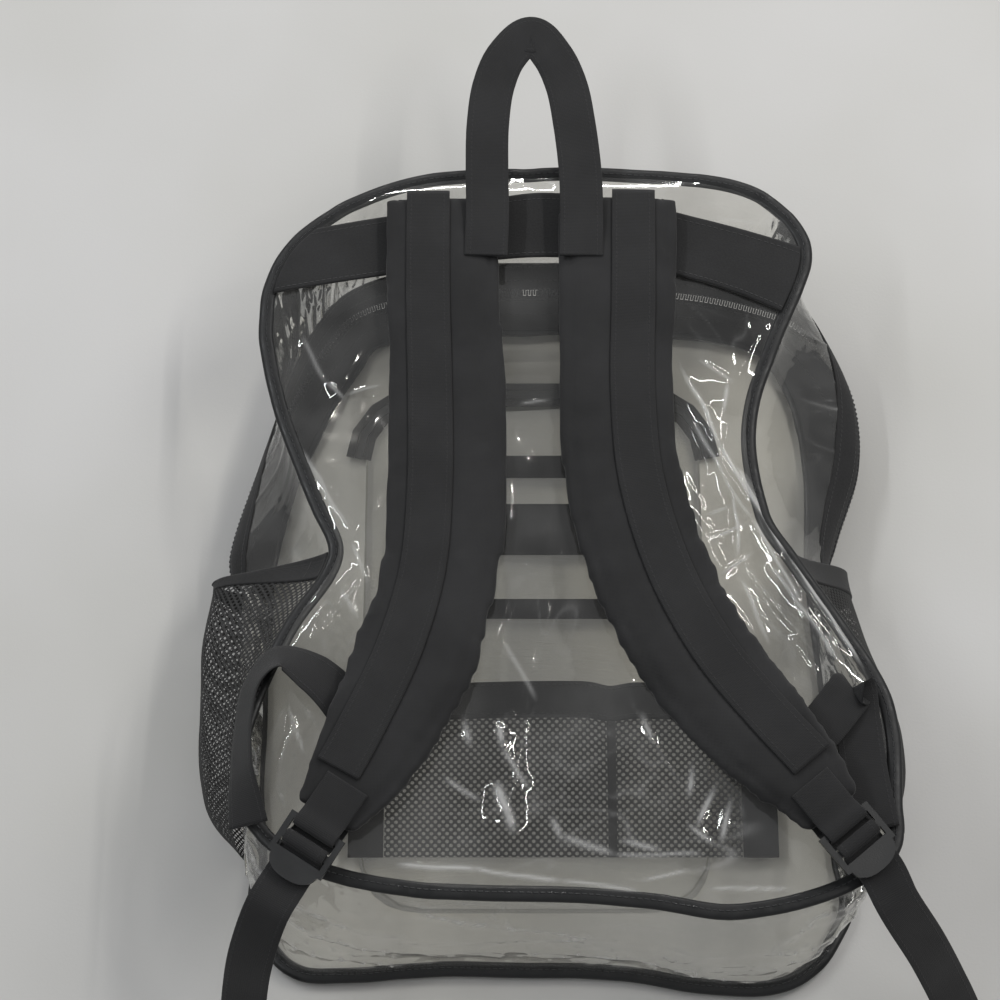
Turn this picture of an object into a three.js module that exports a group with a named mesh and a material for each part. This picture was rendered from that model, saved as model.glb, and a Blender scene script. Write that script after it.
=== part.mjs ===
// A clear stadium backpack lying on its front, seen from its strap side.
// Millimetres. +X is to the right, +Y towards the bag's top, +Z up from the surface that it lies on.
import * as THREE from "three";
import { mergeVertices } from "three/addons/utils/BufferGeometryUtils.js";

// Main bag
const BODY_HEIGHT = 447; // back panel from its top edge to its bottom edge
const BODY_WIDTH = 350; // width that the side shares refer to
const BODY_DEPTH = 102; // how high the back binding stands at the bottom edge
const FRONT_LEVEL = 5.9; // height of the front panel above the surface
const CORNER_POWER = 3.5; // how square the panels' corners are
const BACK_CROWN = 6; // rise of the back panel's middle over its edge
const SHEET = 1; // clear sheet
const GAP = 0.4; // clearance between pieces that touch
const EDGE_GAP = 0.8; // clearance of a slanting wall's edge under its binding

// Bindings, tapes and bands
const BINDING_WIDTH = 8;
const BINDING_THICKNESS = 4;
const CLOTH = 1.2;
const ZIP_TAPE_WIDTH = 16;
const ZIP_CHAIN_WIDTH = 6;
const SLIDER_LENGTH = 14;
const SLIDER_WIDTH = 9;
const SLIDER_THICKNESS = 3.4;
const PULL_LENGTH = 26;
const PULL_WIDTH = 6;
const PULL_THICKNESS = 1.6;

// Carrying parts
const YOKE_WIDTH = 43;
const WEBBING_WIDTH = 25;
const WEBBING = 1.5;
const STRAP_WIDTH = 66;
const STRAP_THICKNESS = 9;
const STRAP_WEBBING_OFFSET = 9; // sewn webbing's distance from the strap's middle line
const STUB_LENGTH = 40;

// Ladder lock
const LOCK_BODY_WIDTH = 33;
const LOCK_THICKNESS = 3;
const LOCK_BAR = 4;
const LOCK_STRAP_SLOT = 6.6;
const LOCK_TAIL_SLOT = 4.6;
const LOCK_TAB = 9;
const LOCK_REACH = 5; // from the strap's end to the lock
const LOCK_TILT = 8; // degrees that the tail end hangs down

// Side pockets
const POCKET_BINDING_WIDTH = 16;
const POCKET_BINDING_THICKNESS = 1.8;
const NET = 1; // mesh cloth

// Front pocket and organizer
const POCKET_WIDTH = 0.571 * BODY_WIDTH;
const POCKET_MIDDLE = -0.017 * BODY_WIDTH; // its middle line, across
const POCKET_TOP = 0.237 * BODY_HEIGHT; // its top edge, along
const POCKET_MARGIN = 37; // from its bottom edge to the front panel's
const POCKET_CORNER = 38;
const POCKET_ZIP_WIDTH = 15;
const POCKET_CHAIN_WIDTH = 5;
const POCKET_SLIDER_THICKNESS = 1.6;
const ORGANIZER_WIDTH = 0.577 * BODY_WIDTH;
const ORGANIZER_HEIGHT = 0.224 * BODY_HEIGHT;
const ORGANIZER_MIDDLE = 0.0286 * BODY_WIDTH;
const ORGANIZER_TOP = -0.17 * BODY_HEIGHT;
const ORGANIZER_BULGE = 12;
const HEM_HEIGHT = 21;
const SIDE_BAND_WIDTH = 20;
const INNER_BAND_WIDTH = 0.43 * BODY_WIDTH;

// Sections from the bottom edge to the top edge. "at" is a share of half the height, "front" the same
// for the front panel, the half widths are shares of half the width, and the rest shares of the depth,
// but for "bow", a power: the larger it is, the nearer to the front panel the side wall stands out most.
const SECTIONS = [
  { at: -1.0, front: -1.089, backLeft: 1.16, backRight: 1.57, frontLeft: 1.25, frontRight: 1.3,
    rise: 1.0, bulgeLeft: 0.04, bulgeRight: 0.04, pocketLeft: 0.06, pocketRight: 0.06, tilt: -0.042, bow: 1.45 },
  { at: -0.9, front: -0.975, backLeft: 1.16, backRight: 1.42, frontLeft: 1.26, frontRight: 1.31,
    rise: 1.0, bulgeLeft: 0.05, bulgeRight: 0.04, pocketLeft: 0.2, pocketRight: 0.2, tilt: -0.03, bow: 1.45 },
  { at: -0.75, front: -0.779, backLeft: 1.086, backRight: 1.22, frontLeft: 1.075, frontRight: 1.1,
    rise: 0.996, bulgeLeft: 0.075, bulgeRight: 0.05, pocketLeft: 0.25, pocketRight: 0.22, tilt: -0.01, bow: 1.45 },
  { at: -0.5, front: -0.507, backLeft: 0.947, backRight: 1.086, frontLeft: 0.983, frontRight: 0.988,
    rise: 0.968, bulgeLeft: 0.13, bulgeRight: 0.06, pocketLeft: 0.3, pocketRight: 0.21, tilt: 0, bow: 1.45 },
  { at: -0.3, front: -0.291, backLeft: 0.82, backRight: 0.934, frontLeft: 0.961, frontRight: 0.95,
    rise: 0.94, bulgeLeft: 0.19, bulgeRight: 0.09, pocketLeft: 0.36, pocketRight: 0.19, tilt: 0, bow: 1.5 },
  { at: -0.12, front: -0.108, backLeft: 0.69, backRight: 0.793, frontLeft: 0.95, frontRight: 0.928,
    rise: 0.903, bulgeLeft: 0.28, bulgeRight: 0.13, pocketLeft: 0.38, pocketRight: 0.2, tilt: 0, bow: 1.7 },
  { at: 0.0, front: 0.0, backLeft: 0.744, backRight: 0.711, frontLeft: 0.942, frontRight: 0.923,
    rise: 0.885, bulgeLeft: 0.3, bulgeRight: 0.2, pocketLeft: 0.4, pocketRight: 0.26, tilt: 0, bow: 2.3 },
  { at: 0.25, front: 0.231, backLeft: 0.869, backRight: 0.684, frontLeft: 0.88, frontRight: 0.934,
    rise: 0.857, bulgeLeft: 0.19, bulgeRight: 0.355, pocketLeft: 0.4, pocketRight: 0.3, tilt: 0, bow: 2.5 },
  { at: 0.5, front: 0.431, backLeft: 0.966, backRight: 0.81, frontLeft: 0.798, frontRight: 0.934,
    rise: 0.83, bulgeLeft: 0.11, bulgeRight: 0.35, pocketLeft: 0.4, pocketRight: 0.3, tilt: 0, bow: 2.5 },
  { at: 0.75, front: 0.592, backLeft: 1.0, backRight: 1.02, frontLeft: 0.755, frontRight: 0.939,
    rise: 0.8, bulgeLeft: 0.075, bulgeRight: 0.19, pocketLeft: 0.4, pocketRight: 0.3, tilt: 0, bow: 2.3 },
  { at: 0.9, front: 0.665, backLeft: 0.928, backRight: 1.11, frontLeft: 0.814, frontRight: 0.993,
    rise: 0.79, bulgeLeft: 0.06, bulgeRight: 0.06, pocketLeft: 0.4, pocketRight: 0.3, tilt: 0, bow: 2.0 },
  { at: 1.0, front: 0.707, backLeft: 0.81, backRight: 1.25, frontLeft: 0.814, frontRight: 1.0,
    rise: 0.78, bulgeLeft: 0.06, bulgeRight: 0.06, pocketLeft: 0.4, pocketRight: 0.3, tilt: 0, bow: 2.0 },
];

// Creases of the back panel: a line across the panel, its height as a share of the depth and its
// width as a share of the body's width.
const CREASES = [
  { fromAcross: 0.56, fromAlong: 0.26, toAcross: 0.93, toAlong: -0.34, height: 0.1, width: 0.055 },
  { fromAcross: -0.62, fromAlong: -0.13, toAcross: -0.82, toAlong: -0.36, height: 0.08, width: 0.05 },
  { fromAcross: 0.36, fromAlong: -0.5, toAcross: 0.66, toAlong: -0.8, height: 0.045, width: 0.04 },
  { fromAcross: -0.16, fromAlong: -0.62, toAcross: -0.12, toAlong: -0.84, height: 0.035, width: 0.04 },
  { fromAcross: 0.5, fromAlong: 0.1, toAcross: 0.72, toAlong: -0.42, height: -0.04, width: 0.04 },
  { fromAcross: -0.62, fromAlong: 0.93, toAcross: 0.62, toAlong: 0.93, height: 0.035, width: 0.06 },
  { fromAcross: -0.3, fromAlong: -0.95, toAcross: 0.85, toAlong: -0.95, height: 0.04, width: 0.05 },
];

// How far the bottom edges hang below an even curve, from left to right, as shares of half the height.
const BOTTOM_EDGES = [
  { across: -1, back: 0, front: 0 },
  { across: -0.8, back: 0.004, front: 0.03 },
  { across: -0.66, back: 0.012, front: 0.1 },
  { across: -0.5, back: 0.016, front: 0.05 },
  { across: -0.3, back: 0.012, front: 0.005 },
  { across: 0, back: 0, front: 0 },
  { across: 0.2, back: 0.012, front: 0.012 },
  { across: 0.32, back: 0.034, front: 0.037 },
  { across: 0.42, back: 0.032, front: 0.062 },
  { across: 0.58, back: 0.01, front: 0.104 },
  { across: 0.66, back: 0, front: 0.095 },
  { across: 0.75, back: 0, front: 0.03 },
  { across: 1, back: 0, front: 0 },
];

// The yoke band's middle line, from left to right, as shares of half the height.
const YOKE_LINE = [
  { share: -1, along: 0.715 },
  { share: -0.55, along: 0.765 },
  { share: 0, along: 0.815 },
  { share: 0.5, along: 0.765 },
  { share: 1, along: 0.66 },
];

// The handle's middle line, from the left leg over the top to the right leg. "rise" is its height over
// the straps' faces as a share of the depth.
const HANDLE_LINE = [
  { across: -0.193, along: 0.69, rise: 0 },
  { across: -0.188, along: 0.82, rise: 0 },
  { across: -0.19, along: 0.936, rise: 0 },
  { across: -0.187, along: 1.081, rise: 0 },
  { across: -0.167, along: 1.197, rise: 0.005 },
  { across: -0.122, along: 1.283, rise: 0.02 },
  { across: -0.04, along: 1.342, rise: 0.03 },
  { across: 0.03, along: 1.283, rise: 0.02 },
  { across: 0.077, along: 1.197, rise: 0.005 },
  { across: 0.103, along: 1.081, rise: 0 },
  { across: 0.121, along: 0.936, rise: 0 },
  { across: 0.124, along: 0.82, rise: 0 },
  { across: 0.121, along: 0.69, rise: 0 },
];

// Padded straps from the yoke down: the middle line, the width as a share of the strap's, and the
// lift off the back panel as a share of the strap's thickness.
const LEFT_STRAP = [
  { across: -0.334, along: 0.885, width: 1.0, lift: 0.42 },
  { across: -0.331, along: 0.585, width: 0.98, lift: 0.42 },
  { across: -0.32, along: 0.296, width: 1.0, lift: 0.16 },
  { across: -0.317, along: 0.045, width: 0.98, lift: 0.16 },
  { across: -0.337, along: -0.193, width: 0.98, lift: 0.2 },
  { across: -0.407, along: -0.413, width: 0.98, lift: 0.5 },
  { across: -0.501, along: -0.589, width: 0.9, lift: 0.7 },
  { across: -0.592, along: -0.73, width: 0.74, lift: 0.75 },
  { across: -0.669, along: -0.823, width: 0.55, lift: 0.8 },
];
const RIGHT_STRAP = [
  { across: 0.247, along: 0.89, width: 1.0, lift: 0.42 },
  { across: 0.239, along: 0.588, width: 1.0, lift: 0.42 },
  { across: 0.229, along: 0.303, width: 0.99, lift: 0.16 },
  { across: 0.25, along: 0.052, width: 0.98, lift: 0.16 },
  { across: 0.335, along: -0.207, width: 0.98, lift: 0.2 },
  { across: 0.465, along: -0.429, width: 0.98, lift: 0.45 },
  { across: 0.612, along: -0.589, width: 0.94, lift: 0.75 },
  { across: 0.752, along: -0.719, width: 0.78, lift: 0.85 },
  { across: 0.852, along: -0.813, width: 0.56, lift: 0.85 },
];

// Adjuster webbings from the side seam to the ladder lock. "stack" is the height over what lies below
// in webbing thicknesses, "facing" the way that the width points and "lean" how far it stands on edge.
const LEFT_ADJUSTER = [
  { across: -0.9, along: -0.83, stack: 1, facing: 14, lean: 32 },
  { across: -0.925, along: -0.7, stack: 1, facing: 8, lean: 58 },
  { across: -0.925, along: -0.58, stack: 1, facing: 2, lean: 64 },
  { across: -0.9, along: -0.475, stack: 1.5, facing: -22, lean: 60 },
  { across: -0.825, along: -0.415, stack: 2.5, facing: -72, lean: 42 },
  { across: -0.72, along: -0.45, stack: 2.2, facing: -112, lean: 18 },
  { across: -0.62, along: -0.525, stack: 1.2, facing: -128, lean: 3 },
  { across: -0.555, along: -0.62, stack: 1.2, facing: -155, lean: 0 },
  { across: -0.565, along: -0.71, stack: 1.6, facing: -190, lean: 0 },
];
const RIGHT_ADJUSTER = [
  { across: 0.985, along: -0.83, stack: 1, facing: 5, lean: 0 },
  { across: 0.96, along: -0.7, stack: 1, facing: 2, lean: 0 },
  { across: 0.945, along: -0.56, stack: 1.3, facing: -2, lean: 0 },
  { across: 0.935, along: -0.485, stack: 2.2, facing: -24, lean: 0 },
  { across: 0.915, along: -0.505, stack: 3.2, facing: -44, lean: 0 },
  { across: 0.85, along: -0.57, stack: 4, facing: -52, lean: 0 },
  { across: 0.77, along: -0.64, stack: 3.5, facing: -60, lean: 0 },
  { across: 0.715, along: -0.7, stack: 2.7, facing: -95, lean: 0 },
];

// Free tails beyond the ladder locks, down over the bag's bottom edge to the surface.
const LEFT_TAIL = [
  { across: -0.835, along: -1.03, above: 1.1, facing: -30, lean: 0 },
  { across: -0.888, along: -1.115, above: 0.9, facing: -22, lean: 0 },
  { across: -0.925, along: -1.185, above: 0.55, facing: -18, lean: 0 },
  { across: -0.95, along: -1.27, above: 0.16, facing: -15, lean: 0 },
  { across: -0.965, along: -1.4, above: 0.011, facing: -12, lean: 0 },
  { across: -0.985, along: -1.58, above: 0.011, facing: -10, lean: 0 },
];
const RIGHT_TAIL = [
  { across: 1.035, along: -1.01, above: 1.06, facing: 42, lean: 0 },
  { across: 1.14, along: -1.09, above: 0.78, facing: 40, lean: 0 },
  { across: 1.24, along: -1.165, above: 0.42, facing: 38, lean: 0 },
  { across: 1.34, along: -1.25, above: 0.08, facing: 37, lean: 0 },
  { across: 1.46, along: -1.37, above: 0.011, facing: 36, lean: 0 },
  { across: 1.57, along: -1.5, above: 0.011, facing: 36, lean: 0 },
];

// Plain bands across the front panel: the middle line and the width as shares of half the height.
const INNER_BANDS = [
  { name: "upper_band", along: 0.277, width: 0.0626 },
  { name: "middle_band", along: 0.098, width: 0.1432 },
  { name: "lower_band", along: -0.125, width: 0.0537 },
];

const HALF_WIDTH = BODY_WIDTH / 2;
const HALF_HEIGHT = BODY_HEIGHT / 2;
const SIDE_STEPS = 20;
const END_STEPS = 16;
const UP = new THREE.Vector3(0, 0, 1);

const CLEAR = { color: 0xc9cac6, roughness: 0.12, metalness: 0 };
const BLACK_BINDING = { color: 0x1d1e1f, roughness: 0.4, metalness: 0 };
const BLACK_CLOTH = { color: 0x36373a, roughness: 0.9, metalness: 0 };
const BLACK_PLASTIC = { color: 0x2a2b2d, roughness: 0.45, metalness: 0 };
const BLACK_NET = { color: 0x2c2c2c, roughness: 0.8, metalness: 0 };

const bag = new THREE.Group();

// Adds one named piece, turned so that its faces point out.
function piece(name, geometry, look, parent = bag) {
  const solid = mergeVertices(outward(geometry), 1e-4);
  solid.computeVertexNormals();
  const mesh = new THREE.Mesh(solid, new THREE.MeshStandardMaterial(look));
  mesh.name = name;
  parent.add(mesh);
  return mesh;
}

// Keeps only the corner positions and turns a solid the right way out.
function outward(geometry) {
  const bare = new THREE.BufferGeometry();
  bare.setAttribute("position", geometry.getAttribute("position").clone());
  if (geometry.index) bare.setIndex(Array.from(geometry.index.array));
  const merged = mergeVertices(bare, 1e-4);
  const index = merged.index.array;
  const place = merged.getAttribute("position");
  const corner = [new THREE.Vector3(), new THREE.Vector3(), new THREE.Vector3()];
  let volume = 0;
  for (let i = 0; i < index.length; i += 3) {
    corner.forEach((point, k) => point.fromBufferAttribute(place, index[i + k]));
    volume += corner[0].dot(corner[1].clone().cross(corner[2]));
  }
  if (volume < 0) {
    for (let i = 0; i < index.length; i += 3) [index[i], index[i + 1]] = [index[i + 1], index[i]];
  }
  return merged;
}

// A smooth reading of a table's columns at any value of its first column.
function tableReader(rows, key) {
  const columns = Object.keys(rows[0]).filter((name) => name !== key);
  const places = rows.map((row) => row[key]);
  const values = rows.flatMap((row) => columns.map((name) => row[name]));
  const reader = new THREE.CubicInterpolant(places, values, columns.length, new Float64Array(columns.length));
  return (at) => {
    const found = reader.evaluate(THREE.MathUtils.clamp(at, places[0], places[places.length - 1]));
    return Object.fromEntries(columns.map((name, i) => [name, found[i]]));
  };
}

const section = tableReader(SECTIONS, "at");
const yokeLine = tableReader(YOKE_LINE, "share");
const bottomEdges = tableReader(BOTTOM_EDGES, "across");

const roundNorm = (u, v) => (Math.abs(u) ** CORNER_POWER + Math.abs(v) ** CORNER_POWER) ** (1 / CORNER_POWER);

// The panels' rim as a walk round a square: up the right side, left along the top, down, and back.
function rimSquare(walk) {
  const place = (((walk % 1) + 1) % 1) * 4;
  const step = 2 * (place % 1) - 1;
  if (place < 1) return [1, step];
  if (place < 2) return [-step, 1];
  if (place < 3) return [-1, -step];
  return [step, -1];
}

function rimWalk(u, v) {
  const size = Math.max(Math.abs(u), Math.abs(v));
  const [a, b] = [u / size, v / size];
  if (a === 1) return (b + 1) / 8;
  if (b === 1) return 0.25 + (1 - a) / 8;
  if (a === -1) return 0.5 + (1 - b) / 8;
  return 0.75 + (a + 1) / 8;
}

// How much of the bottom edges' hang reaches a place: all at the bottom, and none in the upper half.
const nearBottom = (b) => Math.max(0, -b) ** 6;

// A point of a panel at shares (a, b) of its half widths and half height.
function backPlace(a, b) {
  const row = section(b);
  const half = (a < 0 ? row.backLeft : row.backRight) * HALF_WIDTH;
  const hang = bottomEdges(a).back * nearBottom(b);
  return new THREE.Vector3(a * half, (b + row.tilt * a - hang) * HALF_HEIGHT, row.rise * BODY_DEPTH);
}

function frontPlace(a, b) {
  const row = section(b);
  const half = (a < 0 ? row.frontLeft : row.frontRight) * HALF_WIDTH;
  const hang = bottomEdges(a).front * nearBottom(b);
  return new THREE.Vector3(a * half, (row.front - hang) * HALF_HEIGHT, FRONT_LEVEL - BINDING_THICKNESS / 4);
}

// The rim of a panel, moved in level by "inset" from its outer edge.
function rim(place, walk, inset = 0) {
  const at = (w) => {
    const [u, v] = rimSquare(w);
    const size = roundNorm(u, v);
    return place(u / size, v / size);
  };
  const along = at(walk + 0.002).sub(at(walk - 0.002)).setZ(0).normalize();
  const inward = UP.clone().cross(along);
  return { point: at(walk).addScaledVector(inward, inset), inward };
}

// How far out of the middle a place of the back panel lies, 1 at the rim.
function backShare(x, y) {
  const b = THREE.MathUtils.clamp(y / HALF_HEIGHT, -1, 1);
  const row = section(b);
  const a = x / ((x < 0 ? row.backLeft : row.backRight) * HALF_WIDTH);
  return Math.min(1, roundNorm(a, b));
}

// Height of the back panel's middle surface: the rim's height, a crown and the creases.
function backHeight(x, y) {
  const share = backShare(x, y);
  let height = section(y / HALF_HEIGHT).rise * BODY_DEPTH + BACK_CROWN * (1 - share ** 4);
  const here = new THREE.Vector3(x, y, 0);
  for (const crease of CREASES) {
    const from = new THREE.Vector3(crease.fromAcross * HALF_WIDTH, crease.fromAlong * HALF_HEIGHT, 0);
    const to = new THREE.Vector3(crease.toAcross * HALF_WIDTH, crease.toAlong * HALF_HEIGHT, 0);
    const nearest = new THREE.Line3(from, to).closestPointToPoint(here, true, new THREE.Vector3());
    const away = nearest.distanceTo(here) / (crease.width * BODY_WIDTH);
    height += crease.height * BODY_DEPTH * Math.exp(-away * away) * (1 - share ** 8);
  }
  return height;
}

// Height of whatever a webbing meets at a place: the back panel's face or the binding round it.
function seatHeight(x, y) {
  const panelTop = backHeight(x, y) + SHEET / 2;
  const bindingTop = section(y / HALF_HEIGHT).rise * BODY_DEPTH + BINDING_THICKNESS / 2;
  return backShare(x, y) > 0.9 ? Math.max(panelTop, bindingTop) : panelTop;
}

// A closed sheet of even thickness over a grid of points, at(i, j) for i to across and j to along.
function sheet(at, across, along, thickness) {
  const points = [];
  for (let j = 0; j <= along; j++) for (let i = 0; i <= across; i++) points.push(at(i, j));
  const index = (i, j) => j * (across + 1) + i;
  const normals = points.map((_, k) => {
    const i = k % (across + 1);
    const j = Math.floor(k / (across + 1));
    const du = points[index(Math.min(i + 1, across), j)].clone().sub(points[index(Math.max(i - 1, 0), j)]);
    const dv = points[index(i, Math.min(j + 1, along))].clone().sub(points[index(i, Math.max(j - 1, 0))]);
    return du.cross(dv).normalize();
  });
  const upper = points.map((point, k) => point.clone().addScaledVector(normals[k], thickness / 2));
  const lower = points.map((point, k) => point.clone().addScaledVector(normals[k], -thickness / 2));
  const all = [...upper, ...lower];
  const under = points.length;
  const faces = [];
  for (let j = 0; j < along; j++) {
    for (let i = 0; i < across; i++) {
      const [a, b, c, d] = [index(i, j), index(i + 1, j), index(i + 1, j + 1), index(i, j + 1)];
      faces.push(a, b, c, a, c, d, under + c, under + b, under + a, under + d, under + c, under + a);
    }
  }
  const edge = [];
  for (let i = 0; i < across; i++) edge.push(index(i, 0));
  for (let j = 0; j < along; j++) edge.push(index(across, j));
  for (let i = across; i > 0; i--) edge.push(index(i, along));
  for (let j = along; j > 0; j--) edge.push(index(0, j));
  edge.forEach((a, k) => {
    const b = edge[(k + 1) % edge.length];
    faces.push(under + a, under + b, b, under + a, b, a);
  });
  return solidOf(all, faces);
}

function solidOf(points, faces) {
  const geometry = new THREE.BufferGeometry();
  geometry.setAttribute("position", new THREE.Float32BufferAttribute(points.flatMap((p) => p.toArray()), 3));
  geometry.setIndex(faces);
  return geometry;
}

// Carries a closed profile along frames. A frame has a point, a side and a normal, and a width share.
function sweep(frames, profile, width, thickness) {
  const points = frames.flatMap((frame) => profile.map(([s, n]) => frame.point.clone()
    .addScaledVector(frame.side, s * width * frame.width)
    .addScaledVector(frame.normal, n * thickness)));
  const sides = profile.length;
  const faces = [];
  for (let i = 0; i + 1 < frames.length; i++) {
    for (let k = 0; k < sides; k++) {
      const [a, b] = [i * sides + k, i * sides + ((k + 1) % sides)];
      faces.push(a, b, b + sides, a, b + sides, a + sides);
    }
  }
  const last = (frames.length - 1) * sides;
  for (let k = 1; k + 1 < sides; k++) faces.push(0, k + 1, k, last, last + k, last + k + 1);
  return solidOf(points, faces);
}

const FLAT = [[-0.5, -0.5], [0.5, -0.5], [0.5, 0.5], [-0.5, 0.5]];
const PADDED = [[-0.5, -0.14], [-0.43, -0.5], [0.43, -0.5], [0.5, -0.14],
  [0.5, 0.14], [0.43, 0.5], [-0.43, 0.5], [-0.5, 0.14]];

// Frames along a smooth line through points; the side lies level, square to the line.
function levelFrames(points, widths, steps) {
  const line = new THREE.CatmullRomCurve3(points, false, "centripetal");
  const frames = [];
  for (let i = 0; i <= steps; i++) {
    const share = i / steps;
    const tangent = line.getTangent(share);
    const side = new THREE.Vector3(tangent.y, -tangent.x, 0).normalize();
    const place = share * (widths.length - 1);
    const k = Math.min(Math.floor(place), widths.length - 2);
    frames.push({
      point: line.getPoint(share), side, normal: side.clone().cross(tangent).normalize(), tangent,
      width: THREE.MathUtils.lerp(widths[k], widths[k + 1], place - k),
    });
  }
  return frames;
}

// Frames of a webbing whose width turns between the given sides. It never sinks into the surface.
function turningFrames(rows, stepsOf) {
  const line = new THREE.CatmullRomCurve3(rows.map((row) => row.point), false, "centripetal");
  const places = [];
  for (let k = 0; k + 1 < rows.length; k++) {
    for (let i = 0; i < stepsOf(k); i++) places.push(k + i / stepsOf(k));
  }
  places.push(rows.length - 1);
  const points = places.map((place) => line.getPoint(place / (rows.length - 1)));
  points.forEach((point) => point.setZ(Math.max(point.z, WEBBING / 2 + GAP / 2)));
  return points.map((point, i) => {
    const k = Math.min(Math.floor(places[i]), rows.length - 2);
    const tangent = points[Math.min(i + 1, points.length - 1)].clone().sub(points[Math.max(i - 1, 0)]).normalize();
    const side = rows[k].side.clone().lerp(rows[k + 1].side, places[i] - k);
    side.addScaledVector(tangent, -side.dot(tangent)).normalize();
    return { point, side, normal: side.clone().cross(tangent).normalize(), width: 1 };
  });
}

function sideVector(facing, lean) {
  const turn = THREE.MathUtils.degToRad(facing);
  const tip = THREE.MathUtils.degToRad(lean);
  return new THREE.Vector3(Math.cos(turn) * Math.cos(tip), Math.sin(turn) * Math.cos(tip), Math.sin(tip));
}

// Back and front panels: a square grid pressed into the rounded outline.
const PANEL_INSET = BINDING_WIDTH + GAP + 0.2;

function panel(name, place, height) {
  const at = (i, j) => {
    const [u, v] = [(2 * i) / END_STEPS - 1, (2 * j) / SIDE_STEPS - 1];
    const share = Math.max(Math.abs(u), Math.abs(v));
    if (share === 0) return new THREE.Vector3(0, place(0, 0).y, height(0, place(0, 0).y));
    const size = share / roundNorm(u, v);
    const point = place(u * size, v * size);
    point.addScaledVector(rim(place, rimWalk(u, v)).inward, PANEL_INSET * share ** 4);
    return point.setZ(height(point.x, point.y));
  };
  piece(name, sheet(at, END_STEPS, SIDE_STEPS, SHEET), CLEAR);
}

// The front panel lies flat: its outline, cut from sheet.
function flatPanel(name, place, level) {
  const outline = new THREE.Shape(rimSteps().map((walk) => {
    const { point } = rim(place, walk, PANEL_INSET);
    return new THREE.Vector2(point.x, point.y);
  }));
  const slab = new THREE.ExtrudeGeometry(outline, { depth: SHEET, bevelEnabled: false });
  piece(name, slab, CLEAR).position.set(0, 0, level - SHEET / 2);
}

// Even steps of a walk all round a rim.
function rimSteps() {
  const half = [];
  for (let i = 0; i < SIDE_STEPS; i++) half.push((0.25 * i) / SIDE_STEPS);
  for (let i = 0; i < END_STEPS; i++) half.push(0.25 + (0.25 * i) / END_STEPS);
  return [...half, ...half.map((walk) => walk + 0.5)];
}

// A binding folded round a panel's edge: a flat six-sided ring.
function binding(name, place) {
  const half = BINDING_WIDTH / 2;
  const deep = BINDING_THICKNESS / 2;
  const profile = [[-half, 0], [-half * 0.65, -deep], [half * 0.65, -deep], [half, 0],
    [half * 0.65, deep], [-half * 0.65, deep]];
  const full = rimSteps();
  const points = full.flatMap((walk) => {
    const { point, inward } = rim(place, walk, half);
    return profile.map(([s, n]) => point.clone().addScaledVector(inward, s).addScaledVector(UP, n));
  });
  const sides = profile.length;
  const faces = [];
  for (let i = 0; i < full.length; i++) {
    const next = (i + 1) % full.length;
    for (let k = 0; k < sides; k++) {
      const other = (k + 1) % sides;
      faces.push(i * sides + k, i * sides + other, next * sides + other);
      faces.push(i * sides + k, next * sides + other, next * sides + k);
    }
  }
  piece(name, solidOf(points, faces), BLACK_BINDING);
}

// A point of the bag's side wall: "walk" round the rim, "down" from the back binding to the front one.
function wallPlace(walk, down, inset, extra = 0) {
  const high = rim(backPlace, walk, inset);
  const low = rim(frontPlace, walk, inset);
  high.point.z -= BINDING_THICKNESS / 2 + EDGE_GAP;
  low.point.z += BINDING_THICKNESS / 2 + EDGE_GAP;
  const [u, v] = rimSquare(walk);
  const size = roundNorm(u, v);
  const row = section(v / size);
  const right = (u / size + 1) / 2;
  const bulge = THREE.MathUtils.lerp(row.bulgeLeft, row.bulgeRight, right);
  const pocket = THREE.MathUtils.lerp(row.pocketLeft, row.pocketRight, right);
  const out = high.inward.clone().add(low.inward).normalize().negate();
  const swell = (bulge + (pocket - bulge) * extra) * BODY_DEPTH * Math.sin(Math.PI * down ** row.bow);
  return high.point.lerp(low.point, down).addScaledVector(out, swell);
}

const WALL_INSET = 5.5; // the clear wall is sewn under the binding's inner part
const POCKET_INSET = 0.6; // a side pocket is sewn under its outer edge
const SEAM = GAP / (4 * BODY_HEIGHT); // half a seam's gap, as a share of the walk
const POCKET_LINE = 9 / SIDE_STEPS / 4; // where the side pockets' top edges cross the rim

// The walk values between two places, at the same steps as the bindings.
function walkSteps(from, to) {
  const steps = [];
  for (let i = 0; i <= 2 * SIDE_STEPS + 2 * END_STEPS; i++) {
    const corner = Math.floor(i / (SIDE_STEPS + END_STEPS)) * 0.5;
    const k = i % (SIDE_STEPS + END_STEPS);
    const walk = k < SIDE_STEPS ? (0.25 * k) / SIDE_STEPS : 0.25 + (0.25 * (k - SIDE_STEPS)) / END_STEPS;
    if (corner + walk > from + 0.004 && corner + walk < to - 0.004) steps.push(corner + walk);
  }
  return [from + SEAM, ...steps, to - SEAM];
}

function wall(name, from, to, downFrom, downTo, rows, thickness, look) {
  const walks = walkSteps(from, to);
  const at = (i, j) => wallPlace(walks[j], THREE.MathUtils.lerp(downFrom, downTo, i / rows), WALL_INSET);
  return piece(name, sheet(at, rows, walks.length - 1, thickness), look);
}

// Side walls below the zip, and the bottom wall.
function walls() {
  wall("right_gusset", 0, POCKET_LINE, 0, 1, 6, SHEET, CLEAR);
  wall("left_gusset", 0.75 - POCKET_LINE, 0.75, 0, 1, 6, SHEET, CLEAR);
  wall("bottom_gusset", 0.75, 1, 0, 1, 6, SHEET, CLEAR);
}

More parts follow.
